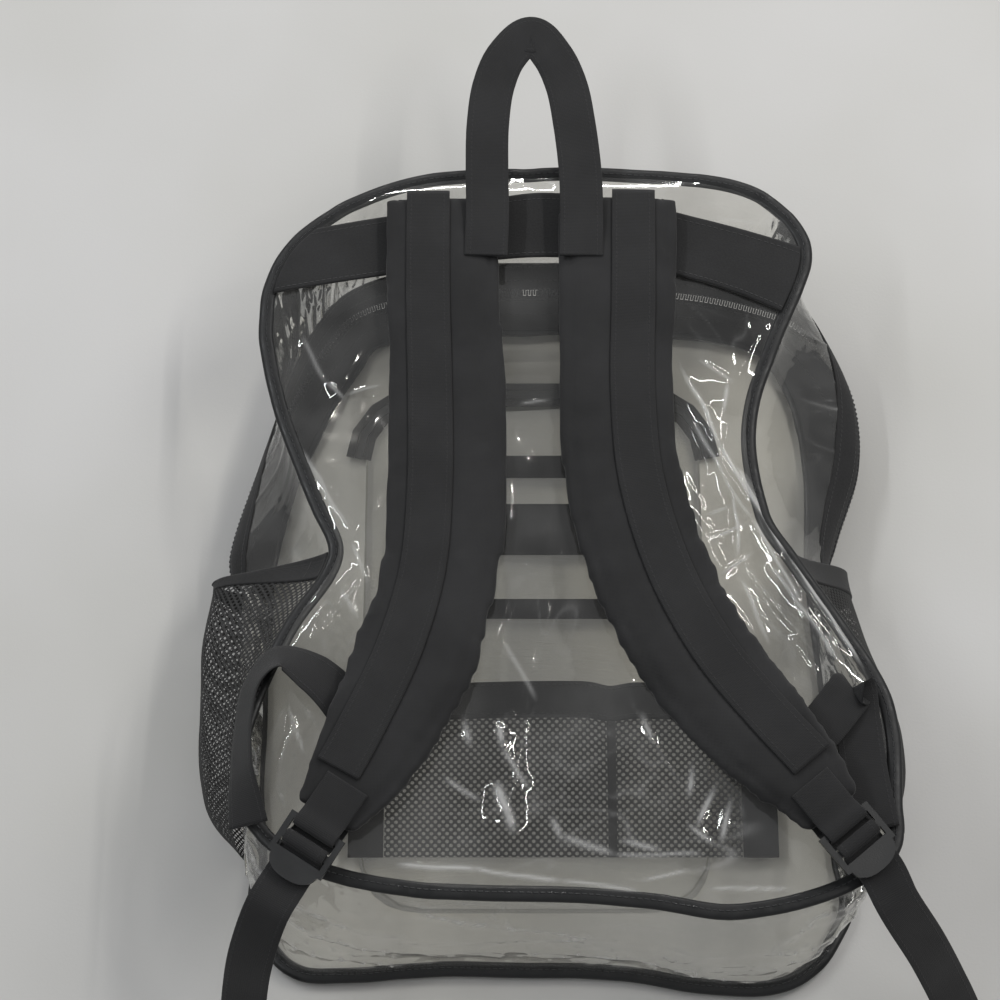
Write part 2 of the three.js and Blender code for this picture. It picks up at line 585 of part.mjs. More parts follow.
// The upper wall is clear sheet, then the zip: tape, chain and tape up to the front binding.
function mainZip() {
  const from = POCKET_LINE;
  const to = 0.75 - POCKET_LINE;
  const tape = ZIP_TAPE_WIDTH / BODY_DEPTH;
  const chain = ZIP_CHAIN_WIDTH / BODY_DEPTH;
  const gap = (2.5 * GAP) / BODY_DEPTH;
  const chainFrom = 1 - tape - gap - chain;
  wall("upper_gusset", from, to, 0, chainFrom - tape - 2 * gap, 3, SHEET, CLEAR);
  wall("main_zip_rear_tape", from, to, chainFrom - gap - tape, chainFrom - gap, 1, CLOTH, BLACK_CLOTH);
  wall("main_zip_chain", from, to, chainFrom, chainFrom + chain, 1, 2 * CLOTH, BLACK_PLASTIC);
  wall("main_zip_front_tape", from, to, 1 - tape, 1, 1, CLOTH, BLACK_CLOTH);
  for (const [name, walk, way] of [["left", 0.392, 1], ["right", 0.372, -1]]) {
    mainSlider(name, walk, way, chainFrom + chain / 2);
  }
}

// A slider outside the chain, with its pull lying along the chain.
function mainSlider(side, walk, way, down) {
  const seat = wallPlace(walk, down, WALL_INSET);
  const along = wallPlace(walk + way * 0.004, down, WALL_INSET).sub(seat).normalize();
  const across = wallPlace(walk, down - 0.04, WALL_INSET).sub(seat).normalize();
  const out = along.clone().cross(across).normalize();
  if (out.y < 0) out.negate();
  const holder = new THREE.Group();
  holder.matrixAutoUpdate = false;
  holder.matrix.makeBasis(along, across, out).setPosition(seat);
  if (holder.matrix.determinant() < 0) holder.matrix.makeBasis(along, across.negate(), out).setPosition(seat);
  bag.add(holder);
  const lift = CLOTH + GAP + 0.4;
  slider(`main_zip_${side}`, holder, lift);
}

function slider(name, holder, lift) {
  const body = piece(`${name}_slider`, roundedSlab(SLIDER_LENGTH, SLIDER_WIDTH, SLIDER_THICKNESS, 2.5),
    BLACK_PLASTIC, holder);
  body.position.set(0, 0, lift);
  const pull = piece(`${name}_pull`, roundedSlab(PULL_LENGTH, PULL_WIDTH, PULL_THICKNESS, 2), BLACK_PLASTIC, holder);
  pull.position.set(PULL_LENGTH / 2 - 3, 0, lift + SLIDER_THICKNESS + GAP);
}

// A flat slab with rounded corners, its underside at height 0.
function roundedSlab(length, width, thickness, radius) {
  const shape = roundedShape(length, width, radius);
  return new THREE.ExtrudeGeometry(shape, { depth: thickness, bevelEnabled: false, curveSegments: 3 });
}

function roundedShape(length, width, radius) {
  const [x, y] = [length / 2, width / 2];
  const shape = new THREE.Shape();
  shape.moveTo(-x + radius, -y);
  shape.lineTo(x - radius, -y);
  shape.quadraticCurveTo(x, -y, x, -y + radius);
  shape.lineTo(x, y - radius);
  shape.quadraticCurveTo(x, y, x - radius, y);
  shape.lineTo(-x + radius, y);
  shape.quadraticCurveTo(-x, y, -x, y - radius);
  shape.lineTo(-x, -y + radius);
  shape.quadraticCurveTo(-x, -y, -x + radius, -y);
  return shape;
}

// The yoke band lies on the back panel between the bindings and arches towards the top.
function yoke() {
  const across = 14;
  const inset = BINDING_WIDTH + GAP + 0.6;
  const at = (i, j) => {
    const share = (2 * i) / across - 1;
    const y = yokeLine(share).along * HALF_HEIGHT + (j / 2 - 0.5) * YOKE_WIDTH;
    const b = y / HALF_HEIGHT;
    const row = section(b);
    const narrow = (1 - Math.abs(b) ** CORNER_POWER) ** (1 / CORNER_POWER);
    const slope = (rim(backPlace, rimWalk(Math.sign(share) || 1, b / narrow)).inward);
    const half = (share < 0 ? row.backLeft : row.backRight) * HALF_WIDTH * narrow;
    const x = share * (half - inset / Math.max(0.5, Math.abs(slope.x)));
    return new THREE.Vector3(x, y, backHeight(x, y) + SHEET / 2 + 2 * GAP + CLOTH / 2);
  };
  piece("yoke_band", sheet(at, across, 2, CLOTH), BLACK_CLOTH);
}

// Height of a strap's middle over the highest part of the back panel below its width.
function strapPoints(rows) {
  return rows.map((row, i) => {
    const here = new THREE.Vector3(row.across * HALF_WIDTH, row.along * HALF_HEIGHT, 0);
    const other = rows[Math.min(i + 1, rows.length - 1)];
    const before = rows[Math.max(i - 1, 0)];
    const way = new THREE.Vector3((other.across - before.across) * HALF_WIDTH,
      (other.along - before.along) * HALF_HEIGHT, 0).normalize();
    let top = 0;
    for (const share of [-0.5, -0.25, 0, 0.25, 0.5]) {
      const reach = share * STRAP_WIDTH * row.width;
      top = Math.max(top, backHeight(here.x + way.y * reach, here.y - way.x * reach));
    }
    return here.setZ(top + SHEET / 2 + row.lift * STRAP_THICKNESS + STRAP_THICKNESS / 2);
  });
}

const STRAP_STEPS = 24;

function paddedStrap(side, rows) {
  const points = strapPoints(rows);
  const frames = levelFrames(points, rows.map((row) => row.width), STRAP_STEPS);
  piece(`${side}_padded_strap`, sweep(frames, PADDED, STRAP_WIDTH, STRAP_THICKNESS), BLACK_CLOTH);
  const away = side === "left" ? 1 : -1;
  const lift = STRAP_THICKNESS / 2 + GAP + WEBBING / 2;
  const seat = frames.slice(0, -3).map((frame) => ({
    ...frame, width: 1,
    point: frame.point.clone().addScaledVector(frame.side, away * STRAP_WEBBING_OFFSET * sideSign(frame))
      .addScaledVector(frame.normal, lift * Math.sign(frame.normal.z)),
  }));
  piece(`${side}_strap_webbing`, sweep(seat, FLAT, WEBBING_WIDTH, WEBBING), BLACK_CLOTH);
  return frames;
}

// The side vector points to the left of a strap that runs down the bag.
const sideSign = (frame) => (frame.side.x < 0 ? 1 : -1);

function handle(strapTop) {
  const seat = strapTop + GAP + WEBBING / 2;
  const points = HANDLE_LINE.map((row) => new THREE.Vector3(row.across * HALF_WIDTH, row.along * HALF_HEIGHT,
    seat + row.rise * BODY_DEPTH));
  const frames = levelFrames(points, points.map(() => 1), 36);
  piece("top_handle", sweep(frames, FLAT, WEBBING_WIDTH, WEBBING), BLACK_CLOTH);
}

// The lock's own frame: x along its bars, y towards the padded strap, the middle bar at its origin.
function lockFrame(side, end) {
  const toStrap = end.tangent.clone().setZ(0).normalize().negate();
  const across = toStrap.clone().cross(UP).normalize();
  const reach = LOCK_BAR / 2 + LOCK_STRAP_SLOT + LOCK_BAR + LOCK_REACH;
  const rise = STRAP_THICKNESS / 2 + GAP - LOCK_THICKNESS / 2 - GAP;
  const middle = end.point.clone().addScaledVector(toStrap, -reach).addScaledVector(UP, rise);
  const frame = new THREE.Matrix4().makeBasis(across, toStrap, UP).setPosition(middle);
  return frame.multiply(new THREE.Matrix4().makeRotationX(THREE.MathUtils.degToRad(LOCK_TILT)));
}

function ladderLock(side, frame) {
  const half = LOCK_BODY_WIDTH / 2;
  const top = LOCK_BAR / 2 + LOCK_STRAP_SLOT + LOCK_BAR;
  const bottom = -LOCK_BAR / 2 - LOCK_TAIL_SLOT - LOCK_BAR;
  const shape = new THREE.Shape();
  shape.moveTo(-half, top);
  shape.lineTo(-half, bottom);
  shape.lineTo(-half * 0.86, bottom);
  shape.quadraticCurveTo(-half * 0.8, bottom - LOCK_TAB, 0, bottom - LOCK_TAB);
  shape.quadraticCurveTo(half * 0.8, bottom - LOCK_TAB, half * 0.86, bottom);
  shape.lineTo(half, bottom);
  shape.lineTo(half, top);
  const slotHalf = WEBBING_WIDTH / 2 + 1;
  const slots = [[LOCK_BAR / 2, LOCK_BAR / 2 + LOCK_STRAP_SLOT], [-LOCK_BAR / 2 - LOCK_TAIL_SLOT, -LOCK_BAR / 2]];
  for (const [low, high] of slots) {
    const slot = new THREE.Path();
    slot.moveTo(-slotHalf, low);
    slot.lineTo(slotHalf, low);
    slot.lineTo(slotHalf, high);
    slot.lineTo(-slotHalf, high);
    slot.lineTo(-slotHalf, low);
    shape.holes.push(slot);
  }
  const slab = new THREE.ExtrudeGeometry(shape, { depth: LOCK_THICKNESS, bevelEnabled: false, curveSegments: 6 });
  slab.translate(0, 0, -LOCK_THICKNESS / 2);
  const mesh = piece(`${side}_ladder_lock`, slab, BLACK_PLASTIC);
  mesh.applyMatrix4(frame);
}

// Puts a point of the lock's frame into the bag's.
const placed = (frame, y, z) => new THREE.Vector3(0, y, z).applyMatrix4(frame);

// The stub lies on the strap's end, turns round the lock's top bar and comes back below it.
function stub(side, frame, end) {
  const across = new THREE.Vector3().setFromMatrixColumn(frame, 0);
  const bar = LOCK_THICKNESS / 2 + GAP + WEBBING / 2;
  const barEnd = LOCK_BAR / 2 + LOCK_STRAP_SLOT;
  const turn = barEnd - GAP - WEBBING / 2;
  const toStrap = end.tangent.clone().negate();
  const over = end.normal.clone().multiplyScalar(Math.sign(end.normal.z) * (STRAP_THICKNESS / 2 + GAP + WEBBING / 2));
  const onStrap = (distance) => end.point.clone().addScaledVector(toStrap, distance).add(over);
  const points = [onStrap(STUB_LENGTH * 0.55), onStrap(STUB_LENGTH * 0.25), onStrap(0),
    placed(frame, barEnd + LOCK_BAR * 0.8, bar + GAP / 4), placed(frame, barEnd, bar + GAP / 4),
    placed(frame, turn, bar * 0.75),
    placed(frame, turn - 0.2, 0), placed(frame, turn, -bar * 0.75), placed(frame, barEnd, -bar),
    placed(frame, barEnd + LOCK_BAR * 0.8, -bar)];
  const rows = points.map((point) => ({ point, side: across }));
  piece(`${side}_stub`, sweep(turningFrames(rows, () => 3), FLAT, WEBBING_WIDTH, WEBBING), BLACK_CLOTH);
}

// From the side seam under the strap, up through the lock, over its middle bar and down to the tail.
function adjuster(side, rows, tail, frame, end) {
  const across = new THREE.Vector3().setFromMatrixColumn(frame, 0).negate();
  const first = rows.map((row) => {
    const [x, y] = [row.across * HALF_WIDTH, row.along * HALF_HEIGHT];
    const width = sideVector(row.facing, row.lean);
    let top = 0;
    for (const share of [-0.5, -0.25, 0, 0.25, 0.5]) {
      const reach = share * WEBBING_WIDTH;
      top = Math.max(top, seatHeight(x + width.x * reach, y + width.y * reach) - width.z * reach);
    }
    return { point: new THREE.Vector3(x, y, top + row.stack * WEBBING), side: width };
  });
  const toStrap = end.tangent.clone().negate();
  const under = STRAP_THICKNESS / 2 + GAP + WEBBING;
  const leaving = [5, 0, -2.5].map((distance) => ({
    point: end.point.clone().addScaledVector(toStrap, distance).addScaledVector(UP, -under), side: across }));
  const bar = LOCK_THICKNESS / 2 + GAP + WEBBING / 2;
  const below = -bar - WEBBING - GAP;
  const slot = LOCK_BAR / 2 + GAP + WEBBING / 2;
  const wrap = [[9, below - 0.7], [6.2, below + 0.1], [slot + 0.2, -bar * 0.7], [slot, 0.3], [slot * 0.8, bar * 0.8],
    [0, bar + 0.2], [-slot * 0.85, bar * 0.75], [-slot - 0.1, 0], [-slot - 1.2, -bar * 0.9],
    [-LOCK_BAR / 2 - LOCK_TAIL_SLOT - 1, -bar - 0.2], [-LOCK_BAR / 2 - LOCK_TAIL_SLOT - LOCK_BAR - LOCK_TAB, -bar - 0.6]]
    .map(([y, z]) => ({ point: placed(frame, y, z), side: across }));
  const last = tail.map((row) => ({
    point: new THREE.Vector3(row.across * HALF_WIDTH, row.along * HALF_HEIGHT, row.above * BODY_DEPTH),
    side: sideVector(row.facing + 180, row.lean),
  }));
  const start = first.length + leaving.length - 1;
  const steps = (k) => (k >= start && k < start + wrap.length - 2 ? 4 : 3);
  const frames = turningFrames([...first, ...leaving, ...wrap, ...last], steps);
  piece(`${side}_adjuster`, sweep(frames, FLAT, WEBBING_WIDTH, WEBBING), BLACK_CLOTH);
}

// A mesh pocket on the side wall, open at its top edge, which a wide binding holds.
function sidePocket(side, top, bottom) {
  const way = Math.sign(bottom - top);
  const hem = (way * POCKET_BINDING_WIDTH) / (4 * BODY_HEIGHT);
  const seam = way * 2 * SEAM;
  const place = (share, down, from, to) => {
    const walk = THREE.MathUtils.lerp(from, to, share);
    const closing = (walk - top) / (bottom - top);
    return wallPlace(walk, down, POCKET_INSET, 1 - closing ** 6);
  };
  const band = (i, j) => place(j, THREE.MathUtils.lerp(0.02, 0.98, i / 6), top + seam, top + hem);
  piece(`${side}_pocket_binding`, sheet(band, 6, 1, POCKET_BINDING_THICKNESS), BLACK_CLOTH);
  const steps = 8;
  const net = (i, j) => place(j / steps, i / 6, top + hem + seam, bottom);
  piece(`${side}_mesh_pocket`, sheet(net, 6, steps, NET), BLACK_NET);
}

// Flat pieces on the front panel, inside the bag.
function flatBand(name, middle, along, width, height, level, look = BLACK_CLOTH) {
  const slab = new THREE.BoxGeometry(width, height, CLOTH);
  piece(name, slab, look).position.set(middle, along, level + CLOTH / 2);
}

function organizer() {
  const floor = FRONT_LEVEL + SHEET / 2 + GAP;
  const bottom = ORGANIZER_TOP - ORGANIZER_HEIGHT;
  const left = ORGANIZER_MIDDLE - ORGANIZER_WIDTH / 2;
  const net = (from, to, rows) => (i, j) => {
    const across = i / 8;
    const along = THREE.MathUtils.lerp(from, to, j / rows);
    const rise = ((along - bottom) / ORGANIZER_HEIGHT) * 4 * across * (1 - across);
    return new THREE.Vector3(left + across * ORGANIZER_WIDTH, along, floor + CLOTH / 2 + ORGANIZER_BULGE * rise);
  };
  const hemLine = ORGANIZER_TOP - HEM_HEIGHT;
  piece("organizer_net", sheet(net(bottom, hemLine - GAP, 5), 8, 5, NET), BLACK_NET);
  piece("organizer_hem", sheet(net(hemLine, ORGANIZER_TOP, 1), 8, 1, CLOTH), BLACK_CLOTH);
  const reach = ORGANIZER_WIDTH / 2 + GAP + SIDE_BAND_WIDTH / 2;
  const middle = bottom + ORGANIZER_HEIGHT / 2;
  flatBand("organizer_left_band", ORGANIZER_MIDDLE - reach, middle, SIDE_BAND_WIDTH, ORGANIZER_HEIGHT, floor);
  flatBand("organizer_right_band", ORGANIZER_MIDDLE + reach, middle, SIDE_BAND_WIDTH, ORGANIZER_HEIGHT, floor);
  for (const { name, along, width } of INNER_BANDS) {
    flatBand(name, POCKET_MIDDLE, along * HALF_HEIGHT, INNER_BAND_WIDTH, width * HALF_HEIGHT, floor);
  }
}

// The front pocket lies flat under the front panel: a clear sheet, a low wall and a zip round its top.
function frontPocket() {
  const height = POCKET_TOP - SECTIONS[0].front * HALF_HEIGHT - POCKET_MARGIN;
  const outline = roundedShape(POCKET_WIDTH, height, POCKET_CORNER);
  const middle = new THREE.Vector3(POCKET_MIDDLE, POCKET_TOP - height / 2, 0);
  const slab = new THREE.ExtrudeGeometry(outline, { depth: SHEET, bevelEnabled: false, curveSegments: 6 });
  piece("front_pocket_panel", slab, CLEAR).position.copy(middle);
  const inner = FRONT_LEVEL - SHEET / 2;
  const halfWidth = POCKET_WIDTH / 2;
  const corner = (angle, x, y) => new THREE.Vector3(
    middle.x + x * (halfWidth - POCKET_CORNER) + (POCKET_CORNER - 1) * Math.cos(angle),
    middle.y + y * (height / 2 - POCKET_CORNER) + (POCKET_CORNER - 1) * Math.sin(angle), 0);
  const arc = (x, y, start) => [0, 1, 2, 3, 4].map((k) => corner(start + (k * Math.PI) / 8, x, y));
  const zipEnd = POCKET_TOP - POCKET_CORNER;
  const wallTop = zipEnd - GAP;
  const wallLine = [new THREE.Vector3(middle.x - halfWidth + 1, wallTop, 0), ...arc(-1, -1, Math.PI),
    ...arc(1, -1, 1.5 * Math.PI), new THREE.Vector3(middle.x + halfWidth - 1, wallTop, 0)];
  upright("front_pocket_gusset", wallLine, SHEET, SHEET + GAP, inner - GAP, CLEAR);
  const zipLine = [...arc(1, 1, 0), ...arc(-1, 1, 0.5 * Math.PI)];
  const mid = inner - GAP - CLOTH;
  zipLine.forEach((point) => point.setZ(mid));
  const frames = cornerFrames(zipLine);
  const tape = (POCKET_ZIP_WIDTH - POCKET_CHAIN_WIDTH) / 2 - GAP;
  const ribbon = (name, from, width, thickness, look) => {
    const shifted = frames.map((frame) => ({ ...frame,
      point: frame.point.clone().addScaledVector(frame.side, from + width / 2) }));
    piece(name, sweep(shifted, FLAT, width, thickness), look);
  };
  const chain = tape + GAP - 2;
  ribbon("front_pocket_inner_tape", -2, tape, CLOTH, BLACK_CLOTH);
  ribbon("front_pocket_chain", chain, POCKET_CHAIN_WIDTH, 1.5 * CLOTH, BLACK_PLASTIC);
  ribbon("front_pocket_outer_tape", chain + POCKET_CHAIN_WIDTH + GAP, tape, CLOTH, BLACK_CLOTH);
  const body = roundedSlab(SLIDER_LENGTH, SLIDER_WIDTH, POCKET_SLIDER_THICKNESS, 2.5);
  const seat = new THREE.Vector3(middle.x, POCKET_TOP - 1 + chain + POCKET_CHAIN_WIDTH / 2, GAP / 2);
  piece("front_pocket_slider", body, BLACK_PLASTIC).position.copy(seat);
  const pull = roundedSlab(PULL_LENGTH, PULL_WIDTH, POCKET_SLIDER_THICKNESS, 2);
  seat.x += SLIDER_LENGTH / 2 + GAP + PULL_LENGTH / 2;
  piece("front_pocket_pull", pull, BLACK_PLASTIC).position.copy(seat);
}

// Frames through the given corners, with level sides that meet on the mitre and point outwards.
function cornerFrames(points) {
  return points.map((point, i) => {
    const before = points[Math.max(i - 1, 0)];
    const after = points[Math.min(i + 1, points.length - 1)];
    const tangent = after.clone().sub(before).setZ(0).normalize();
    const side = new THREE.Vector3(tangent.y, -tangent.x, 0);
    return { point: point.clone(), side, normal: UP.clone(), width: 1 };
  });
}

// A low upright wall along a line, from one height to another.
function upright(name, line, thickness, low, high, look) {
  const frames = cornerFrames(line).map((frame) => ({ ...frame, point: frame.point.setZ((low + high) / 2) }));
  piece(name, sweep(frames, FLAT, thickness, high - low), look);
}

panel("back_panel", backPlace, backHeight);
flatPanel("front_panel", frontPlace, FRONT_LEVEL);
binding("back_binding", backPlace);
binding("front_binding", frontPlace);
walls();
mainZip();
yoke();
for (const [side, rows, route, tail] of [
  ["left", LEFT_STRAP, LEFT_ADJUSTER, LEFT_TAIL],
  ["right", RIGHT_STRAP, RIGHT_ADJUSTER, RIGHT_TAIL],
]) {
  const frames = paddedStrap(side, rows);
  const end = frames[frames.length - 1];
  const lock = lockFrame(side, end);
  ladderLock(side, lock);
  stub(side, lock, end);
  adjuster(side, route, tail, lock, end);
  if (side === "left") handle(frames[2].point.z + STRAP_THICKNESS / 2);
}
sidePocket("right", POCKET_LINE, 0.25 / SIDE_STEPS);
sidePocket("left", 0.75 - POCKET_LINE, 0.75 - 0.25 / SIDE_STEPS);
organizer();
frontPocket();

export default bag;
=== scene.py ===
"""A clear stadium backpack lying on its front, dressed in clear sheet, black cloth, webbing and net.

Lengths are worked out in millimetres from the same sizes and tables as the part's source, and every
mesh is written in metres. +X is right, +Y is towards the bag's top, +Z is up from the surface.
"""

import bpy
import numpy as np
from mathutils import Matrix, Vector


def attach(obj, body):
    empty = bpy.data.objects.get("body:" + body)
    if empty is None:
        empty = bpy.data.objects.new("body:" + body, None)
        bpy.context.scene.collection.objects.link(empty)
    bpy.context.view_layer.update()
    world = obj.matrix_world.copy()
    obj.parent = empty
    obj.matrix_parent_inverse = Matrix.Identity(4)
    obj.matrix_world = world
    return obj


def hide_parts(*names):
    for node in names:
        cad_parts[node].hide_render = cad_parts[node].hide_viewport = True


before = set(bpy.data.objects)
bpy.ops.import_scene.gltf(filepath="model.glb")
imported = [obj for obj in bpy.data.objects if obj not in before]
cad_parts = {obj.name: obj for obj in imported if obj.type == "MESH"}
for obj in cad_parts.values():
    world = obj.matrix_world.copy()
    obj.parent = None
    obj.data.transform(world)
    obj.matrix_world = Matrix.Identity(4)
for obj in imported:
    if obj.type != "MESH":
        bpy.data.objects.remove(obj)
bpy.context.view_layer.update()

# Camera, as the photograph was taken: from the bag's bottom end, steeply from above.
camera = bpy.data.objects.new("camera", bpy.data.cameras.new("camera"))
bpy.context.scene.collection.objects.link(camera)
camera.data.lens = 93.924
camera.data.sensor_width = 36.0
camera.location = (-0.02565, -0.53927, 1.44266)
LOOK_AT = Vector((-0.02565, 0.005225, 0.095))
camera.rotation_euler = (LOOK_AT - camera.location).to_track_quat("-Z", "Y").to_euler()
bpy.context.scene.camera = camera

# Sizes, the same as the part's.
BODY_WIDTH = 350
BODY_HEIGHT = 447
HALF_WIDTH = BODY_WIDTH / 2
HALF_HEIGHT = BODY_HEIGHT / 2
DEPTH = 102
FRONT_LEVEL = 5.9
CORNER_POWER = 3.5
CROWN = 6
SHEET = 1
GAP = 0.4
EDGE_GAP = 0.8
BINDING_WIDTH = 8
BINDING_THICKNESS = 4
CLOTH = 1.2
ZIP_TAPE_WIDTH = 16
ZIP_CHAIN_WIDTH = 6
YOKE_WIDTH = 43
WEBBING_WIDTH = 25
WEBBING = 1.5
STRAP_WIDTH = 66
STRAP_THICKNESS = 9
STRAP_WEBBING_OFFSET = 9
STUB_LENGTH = 40
LOCK_THICKNESS = 3
LOCK_BAR = 4
LOCK_STRAP_SLOT = 6.6
LOCK_TAIL_SLOT = 4.6
LOCK_TAB = 9
LOCK_TILT = 8
LOCK_REACH = 5
POCKET_BINDING_WIDTH = 16
ORGANIZER_WIDTH = 0.577 * BODY_WIDTH
ORGANIZER_HEIGHT = 0.224 * BODY_HEIGHT
ORGANIZER_MIDDLE = 0.0286 * BODY_WIDTH
ORGANIZER_TOP = -0.17 * BODY_HEIGHT
ORGANIZER_BULGE = 12
ORGANIZER_SEAM = 38
ORGANIZER_SEAM_WIDTH = 5
HEM_HEIGHT = 21
WALL_INSET = 5.5
POCKET_INSET = 0.6
UP = np.array([0.0, 0.0, 1.0])

# Finish, for the scene alone. RIM_WALK and WALL_WALK are the rough lengths that noise is laid along.
RIM_WALK = 1700
WALL_WALK = 1750
RIM_STEPS = 900
WALL_DROPS = 36
PANEL_COLUMNS, PANEL_ROWS = 281, 351
FRONT_COLUMNS, FRONT_ROWS = 121, 151
ZIP_STEPS = 700
ZIP_TEETH = 430
TOOTH = (0.62, ZIP_CHAIN_WIDTH / 2 - 1.0, 1.0)
TOOTH_SHIFT = 0.7
STRAP_STEPS = 170
STRAP_SIDES = 48
SEWN_STEPS = int(STRAP_STEPS * 21 / 24)
WEBBING_SIDES = 28
STRAP_VOXEL = 5
STRAP_SWELL = 1.3
PUFF_FRAMES = 20
EDGE_CELL = 5
CHANNEL_INSET = 6.5
CHANNEL_DEPTH = 1.25
POCKET_NET_SIZE = (152, 108)
POCKET_NET_PITCH = 3.7
ORGANIZER_NET_PITCH = 4.4
BIG_FOLD = 19
SMALL_FOLD = 9

# The body's sections by height: at, and then the columns that are named below
SECTIONS = np.array([
    [-1, -1.089, 1.16, 1.57, 1.25, 1.3, 1, 0.04, 0.04, 0.06, 0.06, -0.042, 1.45],
    [-0.9, -0.975, 1.16, 1.42, 1.26, 1.31, 1, 0.05, 0.04, 0.2, 0.2, -0.03, 1.45],
    [-0.75, -0.779, 1.086, 1.22, 1.075, 1.1, 0.996, 0.075, 0.05, 0.25, 0.22, -0.01, 1.45],
    [-0.5, -0.507, 0.947, 1.086, 0.983, 0.988, 0.968, 0.13, 0.06, 0.3, 0.21, 0, 1.45],
    [-0.3, -0.291, 0.82, 0.934, 0.961, 0.95, 0.94, 0.19, 0.09, 0.36, 0.19, 0, 1.5],
    [-0.12, -0.108, 0.69, 0.793, 0.95, 0.928, 0.903, 0.28, 0.13, 0.38, 0.2, 0, 1.7],
    [0, 0, 0.744, 0.711, 0.942, 0.923, 0.885, 0.3, 0.2, 0.4, 0.26, 0, 2.3],
    [0.25, 0.231, 0.869, 0.684, 0.88, 0.934, 0.857, 0.19, 0.355, 0.4, 0.3, 0, 2.5],
    [0.5, 0.431, 0.966, 0.81, 0.798, 0.934, 0.83, 0.11, 0.35, 0.4, 0.3, 0, 2.5],
    [0.75, 0.592, 1, 1.02, 0.755, 0.939, 0.8, 0.075, 0.19, 0.4, 0.3, 0, 2.3],
    [0.9, 0.665, 0.928, 1.11, 0.814, 0.993, 0.79, 0.06, 0.06, 0.4, 0.3, 0, 2],
    [1, 0.707, 0.81, 1.25, 0.814, 1, 0.78, 0.06, 0.06, 0.4, 0.3, 0, 2],
])
FRONT, BACK_LEFT, BACK_RIGHT, FRONT_LEFT, FRONT_RIGHT, RISE = range(6)
BULGE_LEFT, BULGE_RIGHT, POCKET_LEFT, POCKET_RIGHT, TILT, BOW = range(6, 12)
# from across, from along, to across, to along, height, width
CREASES = np.array([
    [0.56, 0.26, 0.93, -0.34, 0.1, 0.055],
    [-0.62, -0.13, -0.82, -0.36, 0.08, 0.05],
    [0.36, -0.5, 0.66, -0.8, 0.045, 0.04],
    [-0.16, -0.62, -0.12, -0.84, 0.035, 0.04],
    [0.5, 0.1, 0.72, -0.42, -0.04, 0.04],
    [-0.62, 0.93, 0.62, 0.93, 0.035, 0.06],
    [-0.3, -0.95, 0.85, -0.95, 0.04, 0.05],
])
# across, back, front
BOTTOM_EDGES = np.array([
    [-1, 0, 0],
    [-0.8, 0.004, 0.03],
    [-0.66, 0.012, 0.1],
    [-0.5, 0.016, 0.05],
    [-0.3, 0.012, 0.005],
    [0, 0, 0],
    [0.2, 0.012, 0.012],
    [0.32, 0.034, 0.037],
    [0.42, 0.032, 0.062],
    [0.58, 0.01, 0.104],
    [0.66, 0, 0.095],
    [0.75, 0, 0.03],
    [1, 0, 0],
])
# share, along
YOKE_LINE = np.array([
    [-1, 0.715],
    [-0.55, 0.765],
    [0, 0.815],
    [0.5, 0.765],
    [1, 0.66],
])
# across, along, rise
HANDLE_LINE = np.array([
    [-0.193, 0.69, 0],
    [-0.188, 0.82, 0],
    [-0.19, 0.936, 0],
    [-0.187, 1.081, 0],
    [-0.167, 1.197, 0.005],
    [-0.122, 1.283, 0.02],
    [-0.04, 1.342, 0.03],
    [0.03, 1.283, 0.02],
    [0.077, 1.197, 0.005],
    [0.103, 1.081, 0],
    [0.121, 0.936, 0],
    [0.124, 0.82, 0],
    [0.121, 0.69, 0],
])
# across, along, width, lift
LEFT_STRAP = np.array([
    [-0.334, 0.885, 1, 0.42],
    [-0.331, 0.585, 0.98, 0.42],
    [-0.32, 0.296, 1, 0.16],
    [-0.317, 0.045, 0.98, 0.16],
    [-0.337, -0.193, 0.98, 0.2],
    [-0.407, -0.413, 0.98, 0.5],
    [-0.501, -0.589, 0.9, 0.7],
    [-0.592, -0.73, 0.74, 0.75],
    [-0.669, -0.823, 0.55, 0.8],
])
# across, along, width, lift
RIGHT_STRAP = np.array([
    [0.247, 0.89, 1, 0.42],
    [0.239, 0.588, 1, 0.42],
    [0.229, 0.303, 0.99, 0.16],
    [0.25, 0.052, 0.98, 0.16],
    [0.335, -0.207, 0.98, 0.2],
    [0.465, -0.429, 0.98, 0.45],
    [0.612, -0.589, 0.94, 0.75],
    [0.752, -0.719, 0.78, 0.85],
    [0.852, -0.813, 0.56, 0.85],
])
# across, along, stack, facing, lean
LEFT_ADJUSTER = np.array([
    [-0.9, -0.83, 1, 14, 32],
    [-0.925, -0.7, 1, 8, 58],
    [-0.925, -0.58, 1, 2, 64],
    [-0.9, -0.475, 1.5, -22, 60],
    [-0.825, -0.415, 2.5, -72, 42],
    [-0.72, -0.45, 2.2, -112, 18],
    [-0.62, -0.525, 1.2, -128, 3],
    [-0.555, -0.62, 1.2, -155, 0],
    [-0.565, -0.71, 1.6, -190, 0],
])
# across, along, stack, facing, lean
RIGHT_ADJUSTER = np.array([
    [0.985, -0.83, 1, 5, 0],
    [0.96, -0.7, 1, 2, 0],
    [0.945, -0.56, 1.3, -2, 0],
    [0.935, -0.485, 2.2, -24, 0],
    [0.915, -0.505, 3.2, -44, 0],
    [0.85, -0.57, 4, -52, 0],
    [0.77, -0.64, 3.5, -60, 0],
    [0.715, -0.7, 2.7, -95, 0],
])
# across, along, above, facing, lean
LEFT_TAIL = np.array([
    [-0.835, -1.03, 1.1, -30, 0],
    [-0.888, -1.115, 0.9, -22, 0],
    [-0.925, -1.185, 0.55, -18, 0],
    [-0.95, -1.27, 0.16, -15, 0],
    [-0.965, -1.4, 0.011, -12, 0],
    [-0.985, -1.58, 0.011, -10, 0],
])
